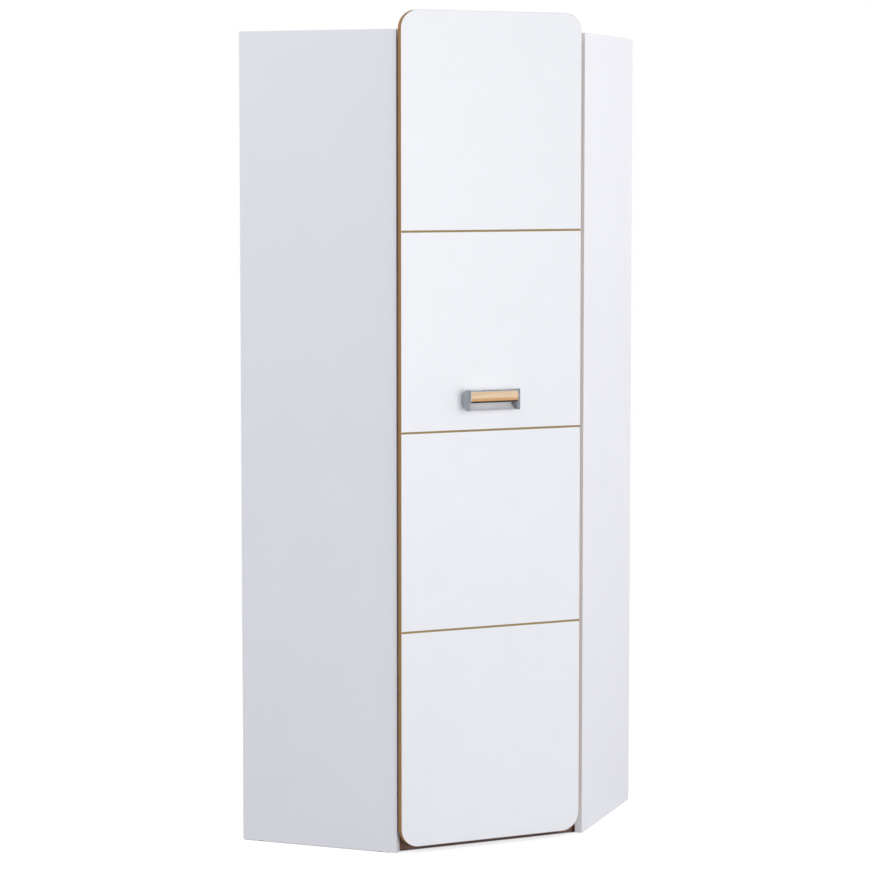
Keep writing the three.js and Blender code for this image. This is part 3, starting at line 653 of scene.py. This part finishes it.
def milky_rubber():
    # Soft clear bumper of polyurethane: milky, slightly yellow, lets some light through
    material, tree, place = start_material("clear_polyurethane")
    haze = add_node(tree, "TexNoise", {"Vector": place, "Scale": 1 / (2 * MM)})
    tint_mix = {0: haze.outputs["Fac"], 6: linear("d2d1c8"), 7: linear("e2e1da")}
    tint = add_node(tree, "Mix", tint_mix, data_type="RGBA")
    return end_material(material, {
        "Base Color": tint.outputs[2],
        "Roughness": 0.35,
        "Transmission Weight": 0.35,
        "IOR": 1.49,
    })


FOIL = melamine_foil()
BAND = edge_band()
DOOR_FOIL = door_foil()
# Rounded door edge, sanded and lacquered: golden brown, short fibres, darker patches, soft gloss
MILLED_EDGE = lacquered_fibreboard("lacquered_fibreboard_edge", "7d5426", "bd8746", "a87a3c", 0.4)
# Groove milled through the foil and sealed: paler olive tan, open fibres, dull
GROOVE_FINISH = lacquered_fibreboard("sealed_fibreboard_groove", "98865a", "c6b687", "b3a373", 0.6)
CHIPBOARD = chipboard_edge()
PLINTH_FOIL = plinth_foil()
HARDBOARD_BACK = hardboard_back()
HARDBOARD_FACE = hardboard_face()
UPRIGHT_PINE = planed_pine("planed_pine_upright", (0, 0, 0), (16 * MM, 16 * MM, 500 * MM))
SLANTED_PINES = {
    side: planed_pine(f"planed_pine_{name}", (0, 0, side * math.radians(45)), (400 * MM, 14 * MM, 14 * MM))
    for side, name in SIDES
}
BEECH = lacquered_beech()
LACQUER = white_lacquer()
# Painted shade under the grip's wooden face: its lowest band drawn almost black
UNDER_GRIP_PAINTED_SHADE = lacquered_fibreboard("painted_shade_under_grip", "1d1712", "33291f", "261e18", 0.7)
# Die-cast zinc with a matt nickel finish: mid grey, slightly uneven
ZINC = metal("matt_nickelled_zinc", ("a6a9ad", "b9bbbf"), (0.36, 0.46), (3, 3, 3), 0.02)
# The same zinc with brushed streaks, drawn darker for the caps' front faces as painted shade
ZINC_PAINTED_SHADE = metal("zinc_with_painted_shade", ("65686d", "75787d"), (0.3, 0.42), (12, 1, 1), 0.02)
# Pressed steel, nickel plated: bright, slightly warm, soft gloss
NICKEL = metal("nickel_plated_steel", ("b9bcc1", "cfd1d4"), (0.22, 0.34), (6, 6, 6), 0.01)
# Folded steel strip, zinc plated: bluish, cloudy and duller than nickel
GALVANISED = metal("zinc_plated_steel", ("9da3aa", "c3c9cf"), (0.32, 0.48), (8, 8, 8), 0.02)
# Chromed steel tube: near mirror, with faint rub marks along it
CHROME = metal("chromed_steel", ("d6d8da", "e2e4e6"), (0.05, 0.14), (150, 2, 2), 0)
PLASTIC = moulded_plastic()
RUBBER = milky_rubber()


# Boards of the carcass


def towards_wall(side):
    return Vector((side * SLANT, SLANT, 0))


def side_board(side, node):
    """A side panel: foil on both sides, bands on its front and top edges, sawn rear and bottom edges."""
    board = copy_of_node(node)
    round_edges(board, ARRIS)
    rear = towards_wall(side)
    front = Vector((-rear.x, -rear.y, 0))

    def choose(middle, normal):
        if normal.dot(rear) > ALONG or normal.z < -ALONG:
            return 2
        return 1 if normal.dot(front) > ALONG or normal.z > ALONG else 0

    paint(board, [FOIL, BAND, CHIPBOARD], choose)
    finish_piece(board, "carcass", "white_board", node)


def deck_board(node):
    """A five-sided deck: foil above and below, a band along its front edge, sawn elsewhere."""
    board = copy_of_node(node)
    round_edges(board, ARRIS)
    front_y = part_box(node)[0].y

    def choose(middle, normal):
        if abs(normal.z) > FOIL_OVER_ARRIS:
            return 0
        return 1 if middle.y < front_y + MM else 2

    paint(board, [FOIL, BAND, CHIPBOARD], choose)
    finish_piece(board, "carcass", "white_board", node)


def back_board(side, node):
    """A back panel: painted inside, rough hardboard towards the wall."""
    board = copy_of_node(node)
    round_edges(board, HARDBOARD_ARRIS, SMALL_STEPS)
    rear = towards_wall(side)
    paint(board, [HARDBOARD_FACE, HARDBOARD_BACK], lambda middle, normal: int(normal.dot(rear) > -ALONG))
    finish_piece(board, "carcass", "hardboard", node)


def timber(node, material):
    piece = copy_of_node(node)
    round_edges(piece, TIMBER_ARRIS)
    paint(piece, [material])
    finish_piece(piece, "carcass", "pine", node)


def plinth_board():
    board = copy_of_node("plinth")
    round_edges(board, ARRIS)
    paint(board, [PLINTH_FOIL])
    finish_piece(board, "carcass", "brown_board", "plinth")


# Door leaf


def door_leaf():
    """A leaf with four round corners, rounded rims, three milled grooves and the bores for its fittings."""
    low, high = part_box("door_panel")
    leaf = add_box("door_leaf", low, high)
    open_mesh(leaf)
    pick_edges(leaf, lambda middle, way: abs(way.y) > ALONG)
    bpy.ops.mesh.bevel(offset=DOOR_CORNER, segments=DOOR_CORNER_STEPS, affect="EDGES")
    pick_faces(leaf, lambda middle, normal: abs(normal.y) > ALONG)
    bpy.ops.mesh.region_to_loop()
    bpy.ops.mesh.bevel(offset=DOOR_ROUND, segments=DOOR_ROUND_STEPS, affect="EDGES")
    close_mesh()

    heights = [(low.z + high.z) / 2 + step * GROOVE_SPACING for step in (-1, 0, 1)]
    combine(leaf, [groove_cutter(low, high, height) for height in heights], "DIFFERENCE")
    round_groove_lips(leaf, low.y, heights)
    combine(leaf, cup_bores(high.y) + screw_bores(low.y, high.y), "DIFFERENCE")

    def choose(middle, normal):
        across = any(abs(middle.z - height) < GROOVE_MOUTH for height in heights)
        inside = low.x + DOOR_ROUND < middle.x < high.x - DOOR_ROUND
        if across and inside and middle.y < low.y + GROOVE_DEPTH + NEAR and normal.y > -EXACT:
            return 2
        level = abs(normal.z) > LEVEL_RIM_SLOPE * abs(normal.x)
        reach = FOIL_OVER_LEVEL_RIM if level else FOIL_OVER_UPRIGHT_RIM
        front = normal.y < -reach and middle.y < low.y + DOOR_ROUND
        back = normal.y > reach and middle.y > high.y - DOOR_ROUND
        return 0 if front or back else 1

    paint(leaf, [DOOR_FOIL, MILLED_EDGE, GROOVE_FINISH], choose)
    finish_piece(leaf, "door", "white_door", "door_panel")


def groove_cutter(low, high, height):
    """A bar across the door with slanted sides and a rounded floor."""
    half = GROOVE_MOUTH / 2
    start = (low.x - OVERRUN, low.y, height - half)
    end = (high.x + OVERRUN, low.y + GROOVE_DEPTH, height + half)
    cutter = add_box("groove_cutter", start, end)
    open_mesh(cutter)
    pick_faces(cutter, lambda middle, normal: normal.y > ALONG)
    bpy.ops.transform.resize(value=(1, 1, GROOVE_FLOOR / GROOVE_MOUTH), center_override=(0, end[1], height))
    pick_edges(cutter, lambda middle, way: abs(way.x) > ALONG and middle.y > end[1] - NEAR)
    bpy.ops.mesh.bevel(offset=GROOVE_FLOOR_ROUND, segments=GROOVE_FLOOR_STEPS, affect="EDGES")
    pick_faces(cutter, lambda middle, normal: normal.y < -ALONG)
    bpy.ops.mesh.extrude_region_move(TRANSFORM_OT_translate={"value": (0, -OVERRUN, 0)})
    close_mesh()
    return cutter


def round_groove_lips(leaf, front_y, heights):
    half = GROOVE_MOUTH / 2

    def on_lip(middle, way):
        near = any(abs(abs(middle.z - height) - half) < NEAR for height in heights)
        return near and abs(way.x) > EXACT and abs(middle.y - front_y) < ON_FACE

    open_mesh(leaf)
    pick_edges(leaf, on_lip)
    bpy.ops.mesh.bevel(offset=GROOVE_LIP, segments=GROOVE_LIP_STEPS, affect="EDGES")
    close_mesh()


def cup_bores(back_y):
    bores = []
    for number in HINGE_NUMBERS:
        low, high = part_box(f"hinge_cup_{number}")
        x, z = (low.x + high.x) / 2, (low.z + high.z) / 2
        start = (x, back_y - CUP_DEPTH - BORE_GAP, z)
        bores.append(add_rod("cup_bore", CUP_RADIUS + BORE_GAP, start, (x, back_y + OVERRUN, z)))
    return bores


def screw_bores(front_y, back_y):
    bores = []
    for side_name in ("left", "right"):
        low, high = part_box(f"handle_{side_name}_screw")
        x, z = (low.x + high.x) / 2, (low.z + high.z) / 2
        start, end = (x, front_y - OVERRUN, z), (x, back_y + OVERRUN, z)
        bores.append(add_rod("screw_bore", SHANK_RADIUS + BORE_GAP, start, end, SHANK_SIDES))
    return bores


# Handle


def add_oval_bar(name, x_range, reach, half_height, mouth):
    """A bar along X with an oval section; its middle line lies at the mouth, a point in Y and Z."""
    deselect_all()
    start, end = x_range
    bpy.ops.mesh.primitive_cylinder_add(
        vertices=OVAL_SIDES,
        radius=1,
        depth=end - start,
        location=((start + end) / 2, *mouth),
        rotation=(0, math.pi / 2, 0),
        scale=(half_height, reach, 1),
    )
    return settle(name)


def cut_flat(piece, y, facing, fill):
    """Cuts the piece at a plane across Y and drops what lies on its facing side."""
    open_mesh(piece)
    bpy.ops.mesh.select_all(action="SELECT")
    bpy.ops.mesh.bisect(plane_co=(0, y, 0), plane_no=(0, facing, 0), clear_outer=True, use_fill=fill)
    close_mesh()


def handle_section():
    low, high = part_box("handle_trough")
    mouth = (low.y, (low.z + high.z) / 2)
    reach = high.y - low.y + SEAT_CUT
    return low, high, mouth, reach, (high.z - low.z) / 2


def handle_trough():
    """A round-backed channel that opens forwards, with two bosses for the screws."""
    low, high, mouth, reach, half_height = handle_section()
    trough = add_oval_bar("handle_channel", (low.x, high.x), reach, half_height, mouth)
    open_mesh(trough)
    pick_faces(trough, lambda middle, normal: abs(normal.x) > ALONG)
    bpy.ops.mesh.delete(type="FACE")
    close_mesh()
    cut_flat(trough, low.y, -1, fill=False)
    wall = trough.modifiers.new("wall", "SOLIDIFY")
    wall.thickness = TROUGH_WALL
    wall.offset = -1
    wall.use_even_offset = True
    activate(trough)
    bpy.ops.object.modifier_apply(modifier=wall.name)
    round_edges(trough, TROUGH_LIP, TROUGH_LIP_STEPS)
    cut_flat(trough, high.y, 1, fill=True)
    middle_x = (low.x + high.x) / 2
    bosses = []
    for side in (LEFT, RIGHT):
        x = middle_x + side * BOSS_SPACING / 2
        start = (x, high.y - TROUGH_WALL / 2, mouth[1])
        end = (x, high.y - BOSS_HEIGHT, mouth[1])
        bosses.append(add_rod("boss", BOSS_RADIUS, start, end, SMALL_SIDES))
    combine(trough, bosses, "UNION")
    paint(trough, [LACQUER, ZINC], lambda middle, normal: int(middle.y < low.y + TROUGH_LIP))
    finish_piece(trough, "door", "satin_metal", "handle_trough")


def handle_caps():
    """Two half-oval end caps, flat towards the front and where they sit on the door."""
    low, high, mouth, reach, half_height = handle_section()
    for side_name in ("left", "right"):
        node = f"handle_{side_name}_cap"
        start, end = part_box(node)
        cap = add_oval_bar(f"{node}_finished", (start.x, end.x), reach, half_height, mouth)
        cut_flat(cap, low.y, -1, fill=True)
        cut_flat(cap, high.y, 1, fill=True)
        round_edges(cap, CAP_ROUND, CAP_ROUND_STEPS)
        # The caps' front faces take the darker zinc: painted shade
        paint(cap, [ZINC, ZINC_PAINTED_SHADE], lambda middle, normal: int(normal.y < -SHADE_OVER_CAP_FRONT))
        finish_piece(cap, "door", "satin_metal", node)


def handle_grip():
    """A lacquered metal bar with a bulging wooden face that stands out past the caps."""
    low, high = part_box("handle_grip")
    mouth_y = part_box("handle_trough")[0].y
    mouth = (mouth_y, (low.z + high.z) / 2)
    grip = add_oval_bar("handle_bar", (low.x, high.x), mouth_y - low.y, (high.z - low.z) / 2, mouth)
    cut_flat(grip, mouth_y, 1, fill=True)
    open_mesh(grip)
    pick_faces(grip, lambda middle, normal: normal.y > ALONG)
    bpy.ops.mesh.extrude_region_move(TRANSFORM_OT_translate={"value": (0, high.y - mouth_y, 0)})
    close_mesh()
    round_edges(grip, GRIP_ROUND, GRIP_ROUND_STEPS)

    def choose(middle, normal):
        if middle.y > mouth_y or abs(normal.x) > ALONG:
            return 1
        if middle.z > high.z - BAR_RIM_HEIGHT:
            return 3
        # The lowest band of the wooden face is drawn almost black: painted shade under the grip
        return 2 if middle.z < low.z + UNDER_GRIP_SHADE_HEIGHT else 0

    paint(grip, [BEECH, LACQUER, UNDER_GRIP_PAINTED_SHADE, NICKEL], choose)
    finish_piece(grip, "door", "beech", "handle_grip")


# Screws


def screw_head(name, radius, height):
    """A pan head at the origin that points up, with a cross recess."""
    head = add_rod(name, radius, (0, 0, 0), (0, 0, height), SMALL_SIDES)
    open_mesh(head)
    pick_edges(head, lambda middle, way: middle.z > height - ON_FACE and abs(way.z) < 1 - ALONG)
    bpy.ops.mesh.bevel(offset=height * HEAD_ROUND_SHARE, segments=HEAD_ROUND_STEPS, affect="EDGES")
    close_mesh()
    reach = radius * RECESS_LENGTH_SHARE / 2
    half = radius * RECESS_WIDTH_SHARE / 2
    floor = height / 2
    blades = [
        add_box("blade", (-reach, -half, floor), (reach, half, 2 * height)),
        add_box("blade", (-half, -reach, floor), (half, reach, 2 * height)),
    ]
    combine(head, blades, "DIFFERENCE")
    return head


SMALL_SCREW = screw_head("small_screw", SCREW_RADIUS, SCREW_HEIGHT)
HANDLE_SCREW = screw_head("handle_screw", HANDLE_SCREW_RADIUS, HANDLE_SCREW_HEIGHT)


def add_screws(name, body, places, way):
    """A group of screw heads on one flat surface."""
    heads = [copy_to(SMALL_SCREW, name, place, way) for place in places]
    group = join_pieces(name, heads)
    paint(group, [NICKEL])
    finish_piece(group, body, "bright_steel")


def handle_screws():
    """The two screws that hold the handle, seen on the inner side of the door."""
    for side_name in ("left", "right"):
        node = f"handle_{side_name}_screw"
        low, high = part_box(node)
        x, z = (low.x + high.x) / 2, (low.z + high.z) / 2
        seat = high.y - HANDLE_SCREW_HEIGHT
        screw = copy_to(HANDLE_SCREW, f"{node}_finished", (x, seat, z), (0, 1, 0))
        shank = add_rod("shank", SHANK_RADIUS, (x, low.y, z), (x, seat + MM / 2, z), SHANK_SIDES)
        combine(screw, [shank], "UNION")
        paint(screw, [NICKEL])
        finish_piece(screw, "door", "bright_steel", node)


# Hinges


def hinge_cup():
    """The first hinge's cup: a pressed cup, its flange and two screw wings."""
    low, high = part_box("hinge_cup_1")
    x, z = (low.x + high.x) / 2, (low.z + high.z) / 2
    seat = high.y - FLANGE_THICKNESS
    half = WING_WIDTH / 2
    cup = add_box("hinge_cup", (x - half, seat, low.z), (x + half, high.y, high.z))
    open_mesh(cup)
    pick_edges(cup, lambda middle, way: abs(way.y) > ALONG)
    bpy.ops.mesh.bevel(offset=WING_CORNER, segments=WING_CORNER_STEPS, affect="EDGES")
    close_mesh()
    flange = add_rod("flange", FLANGE_RADIUS, (x, seat, z), (x, high.y, z), CUP_SIDES)
    start, end = (x, seat - CUP_DEPTH, z), (x, seat + FLANGE_THICKNESS / 2, z)
    body = add_rod("body", CUP_RADIUS, start, end, CUP_SIDES)
    combine(cup, [flange, body], "UNION")
    start, end = (x, seat - CUP_DEPTH + CUP_WALL, z), (x, high.y + OVERRUN, z)
    hollow = add_rod("hollow", CUP_RADIUS - CUP_WALL, start, end, CUP_SIDES)
    combine(cup, [hollow], "DIFFERENCE")
    round_edges(cup, CUP_ROUND, SMALL_STEPS)
    return cup, x, z, high.y


def hinges():
    cup, cup_x, first_height, cup_face = hinge_cup()
    for number in HINGE_NUMBERS:
        low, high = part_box(f"hinge_cup_{number}")
        height = (low.z + high.z) / 2
        shown_cup = copy_to(cup, f"hinge_cup_{number}_finished", (0, 0, height - first_height))
        paint(shown_cup, [NICKEL])
        finish_piece(shown_cup, "door", "bright_steel", f"hinge_cup_{number}")
        wing_places = [(cup_x, cup_face, height + side * CUP_SCREW_REACH) for side in (LEFT, RIGHT)]
        add_screws(f"hinge_cup_screws_{number}", "door", wing_places, (0, 1, 0))
        for kind, edge in (("arm", ARM_ROUND), ("plate", PLATE_ROUND)):
            small_fitting(f"hinge_{kind}_{number}", NICKEL, edge, "bright_steel", ROUND_STEPS)
        plate_screws(number, height)
        dress_node(f"hinge_pin_{number}", NICKEL)
    bpy.data.objects.remove(cup)


def plate_screws(number, height):
    """Two screws in the plate's wings and two adjusting screws in the arm over it."""
    low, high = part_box(f"hinge_plate_{number}")
    inwards = Vector((-SLANT, SLANT, 0))
    backwards = Vector((SLANT, SLANT, 0))
    half = SLANT * PLATE_LENGTH / 2
    seat = Vector((high.x - half, low.y + half, height))
    block = (seat.x - half - low.x) / SLANT
    wing = seat + inwards * PLATE_WING_THICKNESS
    arm = seat + inwards * (block + SEAT_GAP + ARM_THICKNESS)
    places = [wing + Vector((0, 0, side * PLATE_SCREW_REACH)) for side in (LEFT, RIGHT)]
    places += [arm + backwards * side * ARM_SCREW_REACH for side in (LEFT, RIGHT)]
    add_screws(f"hinge_plate_screws_{number}", "carcass", places, inwards)


# Clothes rail


def rail_section(name, x_range, low, high, shrink):
    """A bar along X whose upright section has straight sides and round ends."""
    start, end = x_range
    low_corner = (start, low.y + shrink, low.z + shrink)
    high_corner = (end, high.y - shrink, high.z - shrink)
    piece = add_box(name, low_corner, high_corner)
    radius = (high.y - low.y) / 2 - shrink
    open_mesh(piece)
    pick_edges(piece, lambda middle, way: abs(way.x) > ALONG)
    bpy.ops.mesh.bevel(offset=radius * RAIL_ROUND_SHARE, segments=RAIL_ROUND_STEPS, affect="EDGES")
    close_mesh()
    return piece


def clothes_rail():
    low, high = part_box("clothes_rail")
    tube = rail_section("rail_tube", (low.x, high.x), low, high, 0)
    open_mesh(tube)
    pick_faces(tube, lambda middle, normal: abs(normal.x) > ALONG)
    bpy.ops.mesh.inset(thickness=RAIL_WALL)
    bpy.ops.mesh.bridge_edge_loops()
    close_mesh()
    paint(tube, [CHROME])
    finish_piece(tube, "carcass", "chrome_tube", "clothes_rail")
    for side, side_name in SIDES:
        end = high.x if side == RIGHT else low.x
        inner = end - side * RAIL_CAP_THICKNESS
        plug = rail_section(f"rail_plug_{side_name}", sorted((inner, end)), low, high, RAIL_WALL)
        round_edges(plug, RAIL_CAP_ROUND, SMALL_STEPS)
        paint(plug, [PLASTIC])
        finish_piece(plug, "carcass", "grey_plastic")


def rail_hangers():
    for side_name in ("left", "right"):
        node = f"{side_name}_rail_hanger"
        small_fitting(node, NICKEL, HANGER_ROUND, "bright_steel", ROUND_STEPS)
        low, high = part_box(node)
        middle = Vector(((low.x + high.x) / 2, (low.y + high.y) / 2, high.z - HANGER_FLANGE_HEIGHT))
        turns = [math.pi / 2 + math.tau * step / HANGER_SCREWS for step in range(HANGER_SCREWS)]
        arms = [Vector((math.cos(turn), math.sin(turn), 0)) * HANGER_SCREW_REACH for turn in turns]
        add_screws(f"{side_name}_hanger_screws", "carcass", [middle + arm for arm in arms], (0, 0, -1))


# Small fittings


def small_fitting(node, material, edge, slot, segments=SMALL_STEPS):
    """A packed fitting of the carcass with rounded edges and its finish."""
    piece = copy_of_node(node)
    round_edges(piece, edge, segments)
    paint(piece, [material])
    finish_piece(piece, "carcass", slot, node)


def wall_bracket(side, node):
    """A folded bracket under the top deck, with a screw up into the deck and one into the wall."""
    small_fitting(node, GALVANISED, BRACKET_ROUND, "bright_steel")
    low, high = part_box(node)
    outer = high.x if side == RIGHT else low.x
    half = SLANT * BRACKET_WIDTH / 2
    root = Vector((outer - side * half, high.y - half, high.z))
    off_wall = Vector((-side * SLANT, -SLANT, 0))
    foot = root + off_wall * BRACKET_SCREW_REACH - Vector((0, 0, BRACKET_THICKNESS))
    leg = root + off_wall * BRACKET_THICKNESS - Vector((0, 0, (high.z - low.z) / 2))
    add_screws(f"{node}_foot_screw", "carcass", [foot], (0, 0, -1))
    add_screws(f"{node}_wall_screw", "carcass", [leg], off_wall)


def cam(node):
    """A cam in the top deck, with a cross slot for the screwdriver."""
    low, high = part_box(node)
    piece = copy_of_node(node)
    x, y = (low.x + high.x) / 2, (low.y + high.y) / 2
    blades = []
    for reach, half in ((CAM_SLOT_REACH, CAM_SLOT_HALF), (CAM_SLOT_HALF, CAM_SLOT_REACH)):
        start = (x - reach, y - half, high.z - CAM_SLOT_DEPTH)
        blades.append(add_box("blade", start, (x + reach, y + half, high.z + OVERRUN)))
    combine(piece, blades, "DIFFERENCE")
    paint(piece, [ZINC])
    finish_piece(piece, "carcass", "bright_steel", node)


def door_buffer(node):
    """A soft bumper with a rounded end towards the deck's edge."""
    low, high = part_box(node)
    x, z = (low.x + high.x) / 2, (low.z + high.z) / 2
    radius = (high.x - low.x) / 2
    bumper = add_rod(f"{node}_finished", radius, (x, low.y, z), (x, high.y, z), SMALL_SIDES)
    open_mesh(bumper)
    pick_edges(bumper, lambda middle, way: middle.y > high.y - NEAR and abs(way.y) < 1 - ALONG)
    bpy.ops.mesh.bevel(offset=BUFFER_ROUND, segments=BUFFER_ROUND_STEPS, affect="EDGES")
    close_mesh()
    paint(bumper, [RUBBER])
    finish_piece(bumper, "door", "clear_rubber", node)


side_board(LEFT, "left_side_panel")
side_board(RIGHT, "right_side_panel")
for deck in ("bottom_deck", "hat_shelf", "top_deck"):
    deck_board(deck)
back_board(LEFT, "left_back_panel")
back_board(RIGHT, "right_back_panel")
plinth_board()
timber("corner_post", UPRIGHT_PINE)
timber("shelf_block", UPRIGHT_PINE)
timber("left_deck_cleat", SLANTED_PINES[LEFT])
timber("right_deck_cleat", SLANTED_PINES[RIGHT])
door_leaf()
handle_trough()
handle_caps()
handle_grip()
handle_screws()
hinges()
clothes_rail()
rail_hangers()
for side, side_name in SIDES:
    wall_bracket(side, f"{side_name}_wall_bracket")
    for end_name in ("front", "rear"):
        small_fitting(f"shelf_support_{side_name}_{end_name}", NICKEL, SUPPORT_ROUND, "bright_steel")
        cam(f"cam_{side_name}_{end_name}")
        dress_node(f"cam_bolt_{side_name}_{end_name}", NICKEL)
for glide in ("left_glide_1", "left_glide_2", "right_glide_1", "right_glide_2", "corner_glide"):
    small_fitting(glide, PLASTIC, GLIDE_ROUND, "grey_plastic")
door_buffer("upper_door_buffer")
door_buffer("lower_door_buffer")
for original in (SMALL_SCREW, HANDLE_SCREW):
    bpy.data.objects.remove(original)


# Floor, light and camera


def outside_foot(tree, place):
    """How much the floor glows towards the camera: full outside the wardrobe's foot, nothing under it."""
    axes = add_node(tree, "SeparateXYZ", {"Vector": place})
    side = add_node(tree, "Math", {0: axes.outputs["X"]}, operation="ABSOLUTE")
    slant = add_node(tree, "Math", {0: side.outputs["Value"], 1: axes.outputs["Y"]}, operation="SUBTRACT")
    beside = {"Value": slant.outputs["Value"], "From Min": FOOT_SIDE, "From Max": GLOW_SIDE}
    past_side = add_node(tree, "MapRange", beside)
    before = {"Value": axes.outputs["Y"], "From Min": FOOT_FRONT, "From Max": GLOW_FRONT}
    past_front = add_node(tree, "MapRange", before)
    depth = add_node(tree, "Math", {0: side.outputs["Value"], 1: axes.outputs["Y"]}, operation="ADD")
    behind = {"Value": depth.outputs["Value"], "From Min": FOOT_WALL, "From Max": GLOW_WALL}
    past_wall = add_node(tree, "MapRange", behind)
    fronts = {0: past_side.outputs["Result"], 1: past_front.outputs["Result"]}
    outside_front = add_node(tree, "Math", fronts, operation="MAXIMUM")
    ends = {0: outside_front.outputs["Value"], 1: past_wall.outputs["Result"]}
    outside = add_node(tree, "Math", ends, operation="MAXIMUM")
    glow = add_node(tree, "Math", {0: outside.outputs["Value"], 1: FLOOR_GLOW}, operation="MULTIPLY")
    return glow.outputs["Value"]


def floor():
    # Pale matt floor: it keeps the shadow near the wardrobe and fades to the white background
    deselect_all()
    bpy.ops.mesh.primitive_plane_add(size=FLOOR_SIZE, location=(0, 0, 0))
    plane = settle("floor")
    material, tree, place = start_material("pale_floor")
    distance = add_node(tree, "VectorMath", {0: place}, operation="LENGTH")
    fade = {"Value": distance.outputs["Value"], "From Min": FADE_START, "From Max": FADE_END}
    far = add_node(tree, "MapRange", fade)
    matt = add_node(tree, "BsdfDiffuse", {"Color": linear("d8d8dc")})
    glow = add_node(tree, "Emission", {"Color": linear("ffffff"), "Strength": outside_foot(tree, place)})
    near = add_node(tree, "AddShader", {0: matt.outputs["BSDF"], 1: glow.outputs["Emission"]})
    white = add_node(tree, "Emission", {"Color": linear("ffffff"), "Strength": 1.0})
    by_distance = {0: far.outputs["Result"], 1: near.outputs[0], 2: white.outputs["Emission"]}
    seen = add_node(tree, "MixShader", by_distance)
    rays = add_node(tree, "LightPath")
    by_ray = {0: rays.outputs["Is Camera Ray"], 1: matt.outputs["BSDF"], 2: seen.outputs[0]}
    shown = add_node(tree, "MixShader", by_ray)
    add_node(tree, "OutputMaterial", {"Surface": shown.outputs[0]})
    plane.data.materials.append(material)


def studio_world():
    """White where it is seen, also in gloss and through clear parts, and a softer grey as light."""
    world = bpy.data.worlds.new("studio")
    bpy.context.scene.world = world
    world.use_nodes = True
    tree = world.node_tree
    tree.nodes.clear()
    rays = add_node(tree, "LightPath")
    gloss = {0: rays.outputs["Is Camera Ray"], 1: rays.outputs["Is Glossy Ray"]}
    seen = add_node(tree, "Math", gloss, operation="MAXIMUM")
    clear = {0: seen.outputs["Value"], 1: rays.outputs["Is Transmission Ray"]}
    shown = add_node(tree, "Math", clear, operation="MAXIMUM")
    light = add_node(tree, "Background", {"Color": linear("f8f9ff"), "Strength": WORLD_LIGHT})
    white = add_node(tree, "Background", {"Color": linear("ffffff"), "Strength": 1.0})
    by_ray = {0: shown.outputs["Value"], 1: light.outputs[0], 2: white.outputs[0]}
    mixed = add_node(tree, "MixShader", by_ray)
    add_node(tree, "OutputWorld", {"Surface": mixed.outputs[0]})


def soft_lamp(name, place, aim, size, power, colour):
    lamp = bpy.data.lights.new(name, "AREA")
    lamp.shape = "SQUARE"
    lamp.size = size
    lamp.energy = power
    lamp.color = linear(colour)[:3]
    holder = bpy.data.objects.new(name, lamp)
    bpy.context.scene.collection.objects.link(holder)
    holder.location = place
    holder.rotation_euler = (Vector(aim) - Vector(place)).to_track_quat("-Z", "Y").to_euler()
    holder.visible_camera = False


def camera():
    lens = bpy.data.cameras.new("camera")
    lens.lens = CAMERA_LENS
    lens.sensor_width = CAMERA_SENSOR
    lens.shift_y = CAMERA_SHIFT_UP
    lens.clip_end = CAMERA_REACH
    holder = bpy.data.objects.new("camera", lens)
    bpy.context.scene.collection.objects.link(holder)
    holder.location = CAMERA_PLACE
    holder.rotation_euler = (math.radians(90 - CAMERA_PITCH), 0, math.radians(-CAMERA_YAW))
    bpy.context.scene.camera = holder


floor()
studio_world()
for lamp_name, settings in LAMPS.items():
    soft_lamp(lamp_name, *settings)
camera()
bpy.context.scene.view_settings.view_transform = "Standard"
